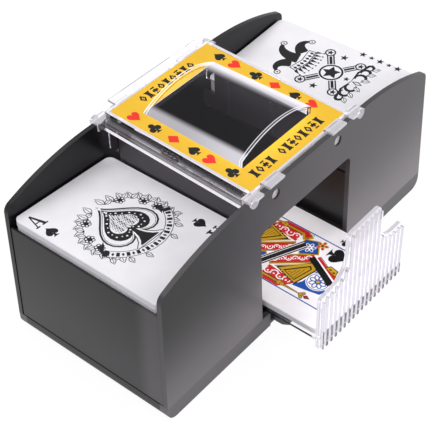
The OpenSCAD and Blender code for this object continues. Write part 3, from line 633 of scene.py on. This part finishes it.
def printed_mesh(name, edge, layers, height, thickness, inks, hole=None):
    """A thin sheet whose top face is cut along every printed outline. height gives the top
    face's z at (x, y), in millimetres; ink 0 is the paper. The sheet has sides and no underside,
    since it lies on the next one."""
    outlines = [edge] + [outline for _, outline in layers] + ([hole] if hole else [])
    numbers = [0] + [number for number, _ in layers] + ([-1] if hole else [])
    points, faces = [], []
    for outline in outlines:
        faces.append(list(range(len(points), len(points) + len(outline))))
        points += [Vector((x, y)) for x, y in outline]
    at, _, cut, _, _, _ = delaunay_2d_cdt(points, [], faces, 0, 1e-4)
    middle = np.array([[sum(at[k][axis] for k in corners) / 3 for axis in (0, 1)] for corners in cut])
    colour = np.full(len(cut), -1)
    for number, outline in zip(numbers, outlines):
        x, y = zip(*outline)
        near = np.flatnonzero((middle[:, 0] > min(x)) & (middle[:, 0] < max(x)) &
                              (middle[:, 1] > min(y)) & (middle[:, 1] < max(y)))
        colour[near[within(middle[near], outline)]] = number
    build = bmesh.new()
    verts = [build.verts.new((p.x * MM, p.y * MM, height(p.x, p.y) * MM)) for p in at]
    for corners, number in zip(cut, colour):
        if number >= 0:
            build.faces.new([verts[k] for k in corners]).material_index = int(number)
    for vert in [v for v in build.verts if not v.link_faces]:
        build.verts.remove(vert)
    rim = [e for e in build.edges if e.is_boundary]
    under = {v: build.verts.new(v.co - Vector((0, 0, thickness * MM))) for e in rim for v in e.verts}
    for e in rim:
        a, b = e.link_loops[0].vert, e.link_loops[0].link_loop_next.vert
        build.faces.new((b, a, under[a], under[b]))
    mesh = bpy.data.meshes.new(name)
    build.to_mesh(mesh)
    build.free()
    for mat in inks:
        mesh.materials.append(mat)
    piece = bpy.data.objects.new(name, mesh)
    scene.collection.objects.link(piece)
    return piece


def card_edge(x0, x1, y0, y1, r, n=5, turn=0.0):
    """A rectangle with round corners."""
    cx, cy = (x0 + x1) / 2, (y0 + y1) / 2
    points = []
    corners = ((x1 - r, y1 - r), (x0 + r, y1 - r), (x0 + r, y0 + r), (x1 - r, y0 + r))
    for k, (ax, ay) in enumerate(corners):
        points += arc(ax - cx, ay - cy, r, 90 * k, 90 * k + 90, n)
    return moved(points, cx, cy, turn=turn)


def ornament(kind, x, y, w, h):
    """A bold printer's ornament in ink 1: twin crescents, a pierced lozenge or a trefoil."""
    if kind == 0:
        layers = []
        for s in (-1, 1):
            bow = arc(x + s * w * 0.60, y, w * 0.50, 90 + s * 90 - 68, 90 + s * 90 + 68, 12, h * 0.52)
            layers.append((1, stroke(bow, 1.25, 0.45)))
            layers.append((1, ring(x, y + s * h * 0.40, 0.55, 10)))
        return layers + [(1, ring(x, y, 0.62, 12))]
    if kind == 1:
        shape = lozenge(-0.5, 0.5)
        return [(1, moved(shape, x, y, w * 0.98, h)), (0, moved(shape, x, y, w * 0.40, h * 0.44)),
                (1, moved(shape, x, y, w * 0.16, h * 0.18))]
    layers = []
    for s in (-1, 1):
        rule = y - s * h * 0.44
        layers.append((1, stroke([(x - w * 0.36, rule), (x + w * 0.36, rule)], 0.85)))
    for dx, r, ry in ((-0.30, 0.62, 0.9), (0.30, 0.62, 0.9), (0, 0.6, 1.7)):
        layers.append((1, ring(x + dx * w, y, r, 14, ry)))
    return layers


def border(x0, x1, y, h, kinds):
    """A row of ornaments across an end of the insert; -1 leaves a space."""
    step = (x1 - x0) / len(kinds)
    layers = []
    for k, kind in enumerate(kinds):
        if kind >= 0:
            layers += ornament(kind, x0 + (k + 0.5) * step, y, step * 0.86, h)
    return layers


def insert_art():
    """Pips down both sides and a row of ornaments across each end."""
    layers = []
    left = (("heart", 30.4), ("club", 18.4), ("diamond", 6.5), ("spade", -5.6), ("heart", -15.9),
            ("club", -28.3))
    right = (("spade", 30.6), ("heart", 20), ("club", 7.4), ("diamond", -4.5), ("spade", -16.4),
             ("heart", -27.4))
    width = {"heart": 6.5, "club": 6.4, "diamond": 6.5, "spade": 5.9}
    for x, column in ((-31.2, left), (31.2, right)):
        for suit, y in column:
            number = 2 if suit in ("heart", "diamond") else 1
            layers += art(pip(suit, number), cx=x, cy=y, sx=width[suit], sy=7.1)
    back = (1, 0, 2, 1, 0, 1, 2, 0, 1)
    front = (0, 1, 2, 0, -1, 1, 0, 2, 1, 0, 1, 2, 0)
    return layers + border(-20.5, 18.6, 36.9, 5.3, back) + border(-27.2, 25.4, -36.4, 5.4, front)


low, high = [Vector(v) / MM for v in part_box("cover_insert")]
rise = (high.z - low.z - 0.42) / (high.y - low.y)
yellow_ink = ink("yellow ink", (0.88, 0.52, 0.030), 0.40)
black_ink = ink("black ink", (0.004, 0.004, 0.005), 0.40, spread=0.2)
red_ink = ink("red ink", (0.88, 0.035, 0.022), 0.40)
insert = printed_mesh(
    "insert_sheet", card_edge(low.x, high.x, low.y + 0.03, high.y - 0.03, 0.6, 3), insert_art(),
    lambda x, y: high.z - 0.02 + rise * (y - high.y), 0.38, [yellow_ink, black_ink, red_ink],
    hole=card_edge(-26.2, 26.2, -30.2, 30.2, 0.5, 2))
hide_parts("cover_insert")
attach(insert, "housing")

# ======================================================================================
# Drawer
# A clear styrene tray without sides, whose floor runs in the chamber walls' channels. Its
# front plate has a raised finger tab and close upright ribs. It casts no shadow here.
# ======================================================================================


def drawer_styrene():
    """Clear styrene with a painted glow on the ribbed plate and painted shade at the feet of its ribs."""
    clear = (0.97, 0.965, 0.985)
    mat = finish_of("drawer styrene", clear, 0.06, grain=0.0, wave=0.02, clear=True, ior=1.35)
    x, y, z, nx, *_ = surface_of(mat)
    plate = ramp(mat, y, -0.0788, -0.0790)
    sides = ramp(mat, calc(mat, "ABSOLUTE", nx), 0.35, 0.75)
    rib = ramp(mat, y, -0.0824, -0.0828)
    foot = ramp(mat, z, 0.0132, 0.0130)
    reach = calc(mat, "MULTIPLY_ADD", x, -0.085, 0.0189)
    under_line = ramp(mat, calc(mat, "SUBTRACT", z, reach), 0.0006, -0.0004)
    dash = product(mat, ramp(mat, z, 0.0134, 0.0136), under_line)
    dark = product(mat, rib, total(mat, foot, dash))
    body = product(mat, plate, calc(mat, "SUBTRACT", 1.0, dark))
    flank = product(mat, body, sides, ramp(mat, y, -0.0806, -0.0810))
    flat = calc(mat, "SUBTRACT", body, flank)
    paint_glow_and_shade(mat, clear, (flat, 0.66, 0.50), (flank, 0.40, 0.65), (dark, 0.02, 0.93))
    return mat


dress(drawer_styrene(), "drawer", edge=0.2)
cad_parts["drawer"].visible_shadow = False

# ======================================================================================
# Cards in the drawer
# Shuffled cards lie face up on the drawer's floor. The top one carries a court card's frame,
# index pips and a two-way pattern of bands, sashes and flowers, with no figure.
# ======================================================================================
CARD_R, CARD_T = 3.2, 0.31        # corner radius and thickness, in millimetres
TRAY_SLOPE = math.tan(math.radians(3.4))
card_white = ink("card stock", (0.92, 0.90, 0.93), 0.36, tooth=0.08)
# Painted shade: the card edges are a darker copy of the card stock, standing in for the shade between
# stacked cards.
card_edges_painted_shade = ink("card edges painted shade", (0.70, 0.69, 0.72), 0.6, tooth=0.2)
card_red = ink("card red ink", (0.62, 0.014, 0.018), 0.36)
blue_ink = ink("blue ink", (0.008, 0.075, 0.38), 0.36)
gold_ink = ink("gold ink", (0.56, 0.32, 0.014), 0.36, spread=0.1)
PAPER, BLACK, RED, BLUE, GOLD = range(5)
CARD_INKS = [card_white, black_ink, card_red, blue_ink, gold_ink]
rng = random.Random(11)


def card_pile(name, x0, x1, y0, y1, base, thickness, jitter, turns=0.0):
    """Cards one above the other, each a little out of line. base gives the pile's
    underside for an x; the topmost card isn't made. Gives back the height left for it."""
    count = int(thickness / CARD_T)
    pitch = thickness / count
    build = bmesh.new()
    drift = [0.0, 0.0]
    for k in range(count - 1):
        drift = [d * 0.8 + rng.uniform(-jitter, jitter) * 0.7 for d in drift]
        drift = [max(-jitter, min(jitter, d)) for d in drift]
        turn = rng.uniform(-turns, turns)
        edge = card_edge(x0 + drift[0], x1 + drift[0], y0 + drift[1], y1 + drift[1], CARD_R, 4, turn)
        low, high = [[build.verts.new((x * MM, y * MM, (base(x) + up) * MM)) for x, y in edge]
                     for up in (k * pitch + 0.01, (k + 1) * pitch - 0.03)]
        build.faces.new(low[::-1]).material_index = 0
        build.faces.new(high).material_index = 0
        for i in range(len(edge)):
            j = (i + 1) % len(edge)
            build.faces.new((low[i], low[j], high[j], high[i])).material_index = 1
    mesh = bpy.data.meshes.new(name)
    build.to_mesh(mesh)
    build.free()
    mesh.materials.append(card_white)
    mesh.materials.append(card_edges_painted_shade)
    piece = bpy.data.objects.new(name, mesh)
    scene.collection.objects.link(piece)
    return piece, pitch


def deck(node, body, slope_to, jitter, margin, layers, turns=0.0, top_turn=0.0, top_shift=(0, 0)):
    """Replaces a CAD deck by a pile of cards and a printed top card. slope_to is -1 or 1
    where the outer end, at that side, lies higher, and 0 for a level deck."""
    low, high = [Vector(v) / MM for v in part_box(node)]
    slope = TRAY_SLOPE if slope_to else 0.0
    inner = high.x if slope_to < 0 else low.x
    thickness = high.z - low.z - (high.x - low.x) * slope

    def base(x):
        return low.z + slope * abs(x - inner)

    x0, x1, y0, y1 = low.x + margin, high.x - margin, low.y + margin, high.y - margin
    pile, pitch = card_pile(node + "_cards", x0, x1, y0, y1, base, thickness, jitter, turns)
    edge = card_edge(x0, x1, y0, y1, CARD_R, 6)
    cx, cy = (x0 + x1) / 2, (y0 + y1) / 2

    def place(outline):
        back = [(x - cx, y - cy) for x, y in outline]
        return moved(back, cx + top_shift[0], cy + top_shift[1], turn=top_turn)

    top = printed_mesh(node + "_top_card", place(edge), [(k, place(o)) for k, o in layers],
                       lambda x, y: base(x) + thickness, pitch, CARD_INKS)
    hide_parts(node)
    for piece in (pile, top):
        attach(piece, body)


def bands(x0, y0, x1, y1, *rules):
    """Straight bands over each other on one line, each a width and an ink."""
    return [(number, stroke([(x0, y0), (x1, y1)], width)) for width, number in rules]


def rings(x, y, *sizes, n=20):
    """Discs over each other at one point, each a radius and an ink."""
    return [(number, ring(x, y, r, n)) for r, number in sizes]


def curls(x0, y0, x1, y1, count, size, number, width=0.45):
    """A running scroll of C curls along a line."""
    length = math.hypot(x1 - x0, y1 - y0)
    ux, uy = (x1 - x0) / length, (y1 - y0) / length
    turn = math.degrees(math.atan2(uy, ux))
    layers = []
    for k in range(count):
        at = (k + 0.5) * length / count
        side = 1 if k % 2 else -1
        curl = arc(0, 0.1 * side * size, size * 0.42, -40, 230, 12)
        curl = [(x, y * side) for x, y in curl]
        layers.append((number, moved(stroke(curl, width, 0.4), x0 + ux * at, y0 + uy * at, turn=turn)))
        layers.append((number, ring(x0 + ux * at, y0 + uy * at, width * 0.8, 8)))
    return layers


def flower(cx, cy, r, petals, outer, inner, eye):
    """A round flower whose petals have a second ink inside."""
    layers = []
    for k in range(petals):
        a = 2 * math.pi * k / petals
        c, s = math.cos(a), math.sin(a)
        for number, out, rx, n, ry in ((outer, 0.62, 0.42, 12, 0.30), (inner, 0.64, 0.28, 10, 0.17)):
            layers.append((number, ring(cx + r * out * c, cy + r * out * s, r * rx, n, r * ry, a)))
    return layers + [(outer, ring(cx, cy, r * 0.34, 14)), (eye, ring(cx, cy, r * 0.22, 12))]


def court_half():
    """The lower half of the pattern, about the card's centre, in millimetres."""
    layers = [(RED, [(-20.2, 0), (-20.2, -12), (-15.2, -16.5), (-12.5, -17.5), (-10.6, 0)])]
    layers += curls(-14.4, 0, -14.4, -15, 4, 4.6, PAPER, 0.7)
    # blue field under the chevron and a pale round flower in it
    layers += [(BLUE, [(-15, -17), (-10, -20), (0, -21.5), (0.5, -25), (-9, -33), (-12.2, -32), (-14, -24)])]
    layers += rings(-5.6, -26.3, (6.2, PAPER), (5.7, BLUE), (5.3, PAPER), n=28)
    layers += flower(-5.6, -26.3, 4.6, 8, BLUE, PAPER, GOLD)
    # gold chevron with a dotted black edge
    layers += [(BLACK, [(-9.7, -3), (-14.2, -18.0), (0.6, -21.4), (4.6, -17.6)]),
               (GOLD, [(-9.5, -5), (-13.2, -17.4), (0.2, -20.5), (3.4, -17.4)]),
               (BLACK, [(-9.3, -7.6), (-11.9, -16.2), (-0.6, -18.9), (1.2, -17.0)]),
               (GOLD, [(-9.2, -8.8), (-11.3, -15.7), (-1.0, -18.2), (0.0, -17.0)])]
    layers += [(GOLD, ring(-9.6 - 3.6 * k / 7, -3.6 - 13.6 * k / 7, 0.34, 8)) for k in range(8)]
    layers += [(BLACK, ring(-12.4 + 13.4 * k / 9, -18.2 - 2.7 * k / 9, 0.36, 8)) for k in range(10)]
    for k in range(4):
        layers += bands(-9.2 - 0.5 * k, -10.4 - 1.55 * k, -7.6 + 1.6 * k, -11.6 - 1.5 * k, (0.3, BLACK))
    # red scroll band along the chevron, with gold and black rules
    layers += bands(-8, 2.5, 6.6, -15.2, (6.6, BLACK), (6.0, GOLD), (5.0, BLACK), (4.6, RED))
    layers += curls(-7.2, 1.6, 6.0, -14.4, 6, 3.4, PAPER, 0.62)
    layers += bands(-9.8, -2.5, 3.2, -17.6, (0.9, GOLD))
    # black sash with a red and a white rule, running down to the left
    for line in ((6.2, -13.6, -3.6, -32.4, (3.6, BLACK)), (8.2, -15.4, -1.2, -33, (0.5, PAPER)),
                 (8.4, -16.4, 0.2, -33, (1.6, RED)), (9.4, -16.9, 1.4, -33, (0.35, BLACK))):
        layers += bands(*line)
    # gold block with black lozenges beside the sash
    layers += [(BLACK, [(4.6, -23.0), (7.2, -25.0), (6.4, -30.0), (2.0, -31.2)]),
               (GOLD, [(4.6, -23.7), (6.7, -25.3), (6.0, -29.6), (2.6, -30.6)])]
    layers += [(BLACK, moved(lozenge(0.6, 0.9), x, y, 1.1)) for x, y in ((4.9, -26.2), (4.1, -28.8))]
    # blue panel with gold rims at the right
    layers += [(GOLD, [(4.2, -7.0), (9.6, -15.6), (18.0, -10.4), (15.2, -3.2), (8.2, -2.6)]),
               (BLACK, [(5.0, -7.1), (9.7, -14.7), (17.3, -10.1), (14.7, -3.8), (8.6, -3.2)]),
               (BLUE, [(5.4, -7.1), (9.8, -14.2), (16.9, -10.0), (14.4, -4.2), (8.8, -3.6)])]
    layers += flower(11.2, -8.6, 3.3, 6, PAPER, BLUE, GOLD)
    layers += [(GOLD, [(13.6, -2.4), (20.2, 3), (20.2, -2.6), (17.6, -6.6)]),
               (RED, [(15.6, -2.4), (20.2, 1.2), (20.2, -1.6), (17.8, -4.8)])]
    layers += curls(14.8, -2.6, 20.2, -5.8, 2, 2.2, BLACK, 0.35)
    layers += flower(16.2, -13.0, 3.2, 5, GOLD, RED, BLACK)
    # gold staff with a crown knob, over the red field
    layers += [(BLACK, [(-18.6, 0), (-18.4, -12), (-17.9, -24.5), (-17.3, -24.5), (-16.7, -12), (-16.5, 0)]),
               (GOLD, [(-18.2, 0), (-18.0, -12), (-17.75, -24), (-17.45, -24), (-17.1, -12), (-16.9, 0)])]
    for y, r in ((-11.4, 1.35), (-13.2, 1.0), (-24.8, 1.2)):
        layers += rings(-17.6, y, (r + 0.25, BLACK), (r, GOLD), n=14)
    for x in (-19.0, -16.2):
        layers += rings(x, -25.6, (1.05, BLACK), (0.8, GOLD), n=12)
    layers += [(BLACK, [(-18.9, -27.6), (-17.6, -26.2), (-16.3, -27.6), (-17.6, -30.2)]),
               (RED, [(-18.3, -27.7), (-17.6, -26.9), (-16.9, -27.7), (-17.6, -29.3)])]
    return layers


def court_art(cx, cy):
    """The two-way pattern, its blue frame and the pips in and beside it."""
    layers = []
    for turn in (0, 180):
        layers += art(court_half(), cx=cx, cy=cy, turn=turn)
    # the diagonal sash through the middle joins both halves
    layers += bands(cx - 12, cy + 5.5, cx + 12, cy - 5.5,
                    (5.6, PAPER), (4.9, BLACK), (3.4, PAPER), (2.6, BLACK))
    for a, b, c, d in ((-20.6, -37.6, -20.6, 37.6), (20.6, -37.6, 20.6, 37.6),
                       (-20.9, -37.6, 20.9, -37.6), (-20.9, 37.6, 20.9, 37.6)):
        layers += bands(cx + a, cy + b, cx + c, cy + d, (0.7, BLUE))
    for turn in (0, 180):
        big = art(pip("spade", BLACK), cx=-14.6, cy=23.5, sx=10.4, sy=10.6)
        small = art(pip("spade", BLACK), cx=-25.2, cy=21.5, sx=5.2, sy=6.4)
        layers += art(big + small, cx=cx, cy=cy, turn=turn)
    return layers


low, high = [Vector(v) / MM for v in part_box("drawer_deck")]
court = court_art((low.x + high.x) / 2, (low.y + high.y) / 2)
deck("drawer_deck", "drawer_cards", 0, 0.15, 0.1, court, turns=0.4, top_turn=-0.7, top_shift=(0.2, 0.45))

# ======================================================================================
# Deck in the left tray
# Poker cards face up, the ace of spades on top: a large ornate spade in a wreath over a
# ribbon of blocks, with an index in two corners.
# ======================================================================================


def inset(outline, d):
    """An outline shrunk by a distance along its own normals."""
    area = sum(x0 * y1 - x1 * y0 for (x0, y0), (x1, y1) in zip(outline, outline[1:] + outline[:1]))
    d = d if area > 0 else -d
    points = []
    for k, (x, y) in enumerate(outline):
        x0, y0 = outline[k - 1]
        x1, y1 = outline[(k + 1) % len(outline)]
        length = math.hypot(x1 - x0, y1 - y0) or 1.0
        points.append((x - (y1 - y0) / length * d, y + (x1 - x0) / length * d))
    return points


def serif_a(number):
    """The index letter A, one high about the origin."""
    return [(number, [(-0.02, 0.5), (0.08, 0.5), (0.33, -0.42), (0.15, -0.42)]),
            (number, [(-0.02, 0.5), (0.06, 0.5), (-0.20, -0.42), (-0.27, -0.42)]),
            (number, [(-0.16, -0.12), (0.18, -0.12), (0.20, -0.20), (-0.18, -0.20)]),
            (number, [(-0.36, -0.41), (-0.10, -0.41), (-0.10, -0.5), (-0.36, -0.5)]),
            (number, [(0.06, -0.41), (0.42, -0.41), (0.42, -0.5), (0.06, -0.5)])]


def leaf(cx, cy, length, width, turn):
    """A pointed leaf in outline with a vein, its base at (cx, cy)."""
    side = [(0, 0), (0.18, 0.30), (0.42, 0.5), (0.70, 0.34), (1, 0)]
    body = side + [(x, -y) for x, y in side[-2:0:-1]]
    shape = moved(body, cx, cy, length, width, turn)
    vein = moved([(0.05, 0), (0.8, 0)], cx, cy, length, width, turn)
    return [(BLACK, shape), (PAPER, inset(shape, 0.40)), (BLACK, stroke(vein, 0.32))]


def rosette(cx, cy, r):
    """Six pierced petals round an eye."""
    layers = []
    for number, out, size, n in ((BLACK, 0.72, 0.46, 12), (PAPER, 0.76, 0.24, 10)):
        for a in [k * math.pi / 3 for k in range(6)]:
            x, y = cx + r * out * math.cos(a), cy + r * out * math.sin(a)
            layers.append((number, ring(x, y, r * size, n)))
    return layers + [(BLACK, ring(cx, cy, r * 0.36, 12))]


def both_sides(side, cx, cy):
    """The outline of an upright shape from its right-hand side."""
    return [(cx + x, cy + y) for x, y in side] + [(cx - x, cy + y) for x, y in side[::-1]]


def ace_art(cx, cy):
    """A spade in a wreath over a ribbon."""
    layers = []
    # wreath of leaves and rosettes round the spade, denser towards the top
    for a in list(range(-34, 62, 12)) + list(range(118, 215, 12)):
        x, y = cx + 19.6 * math.cos(math.radians(a)), cy + 19.8 * math.sin(math.radians(a))
        layers += leaf(x, y, 5.8, 3.7, a + 26) + leaf(x, y, 5.2, 3.4, a - 34)
    for a in (62, 76, 104, 118):
        x, y = cx + 17.6 * math.cos(math.radians(a)), cy + 19.0 * math.sin(math.radians(a))
        layers += leaf(x, y, 6.6, 3.8, a + (18 if a < 90 else -18))
        layers += leaf(x, y, 5.0, 3.2, a + (70 if a > 90 else -70))
    for a in (-2, 20, 54, 126, 160, 182):
        layers += rosette(cx + 19.0 * math.cos(math.radians(a)), cy + 19.3 * math.sin(math.radians(a)), 2.3)
    # ribbon of alternate blocks and lozenges below, with folded ends
    def on(a, r):
        return cx + r * math.cos(math.radians(a)), cy + 4.0 + r * 0.98 * math.sin(math.radians(a))

    def block(a, half, far, near):
        return [on(a - half, far), on(a + half, far), on(a + half, near), on(a - half, near)]

    outer = [on(a, 24.4) for a in range(203, 338, 5)]
    inner = [on(a, 20.2) for a in range(337, 202, -5)]
    for a, tip in ((206, 1), (334, -1)):
        x, y = on(a, 21.5)
        fold = [(x - 2.6, y - 0.6), (x + 2.2, y + 3.6), (x + 3.0 * tip + 1.5, y + 6.4), (x - 1.6, y + 3.0)]
        layers.append((BLACK, fold))
    layers += [(BLACK, outer + inner), (PAPER, inset(outer + inner, 0.32))]
    for k, a in enumerate(range(208, 334, 6)):
        if k % 2 == 0:
            layers.append((BLACK, block(a, 2.1, 23.6, 21.0)))
        else:
            x, y = on(a, 22.3)
            layers.append((BLACK, moved(lozenge(0.6, 1), x, y, 1.15, 1.2, a + 90)))
    for a in (205.5, 334.5):
        layers.append((BLACK, block(a, 3.2, 24.4, 20.2)))
    # leaf sprays under the ribbon
    for a in (214, 232, 250, 290, 308, 326):
        x, y = on(a, 24.4)
        layers += leaf(x, y, 4.8, 3.1, a + (24 if a < 270 else -24))
    # the spade: black keyline, white margin, black heart with a pale leaf and dots
    body = [(cx + x * 31.0, cy + 5.4 - y * 30.4) for x, y in HEART]
    foot = both_sides([(1.9, -1.0), (2.3, -5.0), (3.6, -8.6), (5.6, -11.4), (8.6, -13.6), (8.6, -14.9)],
                      cx, cy)
    stem = both_sides([(0.9, -1.0), (1.2, -5.6), (2.2, -9.0), (3.8, -11.6), (5.6, -13.2), (5.6, -13.9)],
                      cx, cy)
    layers += [(BLACK, body), (BLACK, foot), (PAPER, inset(body, 0.95)), (PAPER, inset(foot, 0.45)),
               (BLACK, inset(body, 1.35)), (PAPER, inset(body, 1.6))]
    core = [(cx + x * 23.2, cy + 5.2 - y * 23.6) for x, y in HEART]
    layers += [(BLACK, core), (BLACK, stem)]
    pale = [(cx + x * 15.4, cy + 5.2 - y * 14.6) for x, y in HEART]
    layers.append((PAPER, pale))
    for k in range(13):
        y = cy - 0.5 + k * 0.95
        narrowing = 1 if k < 7 else 1 - (k - 7) * 0.11
        half = 7.0 * math.sqrt(max(0.0, 1 - ((y - cy - 2.2) / 10.5) ** 2)) * narrowing
        for j in range(int(half * 2 / 1.15)):
            x = cx - half + 0.9 + j * 1.15 + (k % 2) * 0.5
            layers.append((BLACK, ring(x, y, 0.26 + 0.12 * (j % 3), 6)))
    for k in range(30):
        x, y = heart_point(2 * math.pi * (k + 0.5) / 30)
        r, scale = (0.52, 19.3) if k % 2 else (0.36, 18.2)
        layers.append((PAPER, ring(cx + x * scale, cy + 5.2 - y * scale, r, 9)))
    return layers


ace = ace_art(-70.6, 1.2)
ace += art(serif_a(BLACK), cx=-95.4, cy=35.4, sx=9.2)
ace += art(pip("spade", BLACK), cx=-95.8, cy=24.8, sx=6.2, sy=7.6)
ace += art(serif_a(BLACK), cx=-47.9, cy=-33.6, sx=9.2, turn=180)
ace += art(pip("spade", BLACK), cx=-48.0, cy=-22.7, sx=6.2, sy=7.6, turn=180)
deck("left_deck", "left_cards", -1, 0.16, 0.16, ace)

# ======================================================================================
# Deck in the right tray
# Poker cards face up, a plain wild card on top: a cap with bells over crossed batons, stars
# and a flourish, in black, with a column of small stars as its index.
# ======================================================================================


def star(cx, cy, r, waist=0.42):
    """A star with five points, one of them up."""
    points = []
    for k in range(10):
        a, reach = math.radians(90.0 + 36 * k), r * (waist if k % 2 else 1)
        points.append((cx + reach * math.cos(a), cy + reach * math.sin(a)))
    return points


def horn(cx, cy, path, width, n=24):
    """A horn of the cap along a cubic curve through four control points, and its tip."""
    fine = []
    for k in range(n + 1):
        t = k / n
        share = [(1 - t) ** 3, 3 * t * (1 - t) ** 2, 3 * t * t * (1 - t), t ** 3]
        fine.append([sum(w * p[axis] for w, p in zip(share, path)) for axis in (0, 1)])
    left, right = [], []
    for k, (x, y) in enumerate(fine):
        x0, y0 = fine[max(0, k - 1)]
        x1, y1 = fine[min(n, k + 1)]
        d = math.hypot(x1 - x0, y1 - y0)
        half = width / 2 * (1 - k / n) ** 0.8 + 0.25
        left.append((cx + x - (y1 - y0) / d * half, cy + y + (x1 - x0) / d * half))
        right.append((cx + x + (y1 - y0) / d * half, cy + y - (x1 - x0) / d * half))
    return left + right[::-1], (cx + fine[n][0], cy + fine[n][1])


def wild_art(cx, cy):
    """A belled cap over crossed batons, a medallion, stars and a flourish."""
    layers = []
    # cap: three curved horns, each ending in a bell, over a band of lozenges
    horns = (([(-5, 14), (-8, 20), (-13, 21), (-15.5, 15.5)], 6.8),
             ([(5, 14), (8, 20), (13, 21), (15.5, 15.5)], 6.8),
             ([(0, 13), (-2.5, 21), (1.0, 27), (6.2, 27.4)], 7.6))
    for path, width in horns:
        outline, tip = horn(cx, cy, path, width)
        layers.append((BLACK, outline))
        layers += rings(*tip, (1.9, BLACK), (1.35, PAPER)) + rings(*tip, (0.55, BLACK), n=8)
    for number, reach, width in ((PAPER, 9.6, 5.6), (BLACK, 9.2, 4.6), (PAPER, 8.7, 3.6)):
        bow = [(cx - reach, cy + 10.4), (cx, cy + 8.8), (cx + reach, cy + 10.4)]
        layers.append((number, stroke(bow, width)))
    for k in range(-3, 4):
        x, y = cx + k * 2.45, cy + 8.9 + 0.17 * abs(k) ** 1.4
        layers.append((BLACK, moved(lozenge(0.9, 1.5), x, y)))
    # collar of points under the band
    for k in range(-4, 5):
        x, y = cx + k * 2.3, cy + 6.6 + 0.1 * k * k
        layers.append((BLACK, [(x - 1.15, y), (x + 1.15, y), (x + k * 0.35, y - 4.2 + 0.05 * k * k)]))
        layers.append((BLACK, ring(x + k * 0.4, y - 4.7 + 0.05 * k * k, 0.55, 8)))
    # crossed batons with round knobs
    for s in (-1, 1):
        layers += [(BLACK, stroke([(cx + s * 13, cy + 1.6), (cx - s * 12, cy - 17.4)], 4.0)),
                   (PAPER, stroke([(cx + s * 12.4, cy + 1.2), (cx - s * 11.4, cy - 16.9)], 2.5)),
                   (BLACK, stroke([(cx + s * 11, cy + 0.1), (cx - s * 10, cy - 15.8)], 1.5))]
        for x, y in ((s * 13.6, 2.1), (-s * 12.6, -17.9)):
            layers += rings(cx + x, cy + y, (3.0, BLACK), (2.2, PAPER))
            layers.append((BLACK, star(cx + x, cy + y, 2.1)))
    # medallion over the crossing
    layers += rings(cx, cy - 7.9, (7.0, PAPER)) + rings(cx, cy - 7.9, (6.5, BLACK), (5.4, PAPER), n=28)
    layers.append((BLACK, star(cx, cy - 7.9, 5.2, waist=0.5)))
    for x, y, r in ((-14, -6.5, 2.5), (14, -6.5, 2.5), (0, -17.6, 1.9)):
        layers.append((BLACK, star(cx + x, cy + y, r)))
    # ground flourish
    for s in (-1, 1):
        for k, (x, size) in enumerate(((4.4, 5.6), (9.6, 4.8), (14.2, 3.8))):
            curl = [(s * px, py) for px, py in arc(0, 0, size * 0.5, -150, 130, 16)]
            layers.append((BLACK, moved(stroke(curl, 1.7, 0.7), cx + s * x, cy - 23.4 + 0.3 * k)))
            layers += leaf(cx + s * (x - 1.2), cy - 24.6, 5.0, 3.2, -90 + s * (20 + 12 * k))
        sweep_line = [(cx, cy - 20.6), (cx + s * 8, cy - 19.7), (cx + s * 17.5, cy - 22.6)]
        layers.append((BLACK, stroke(sweep_line, 1.3, 0.8)))
    layers += [(BLACK, moved(lozenge(1.5, 3.2), cx, cy - 24.2)),
               (PAPER, moved(lozenge(0.8, 2.1), cx, cy - 24.2))]
    return layers


wild = wild_art(77.5, 2.0)
for k in range(5):
    wild.append((BLACK, star(99.4, -11.0 - 5.4 * k, 2.3 if k % 2 == 0 else 1.7)))
deck("right_deck", "right_cards", 1, 0.16, 0.16, wild)
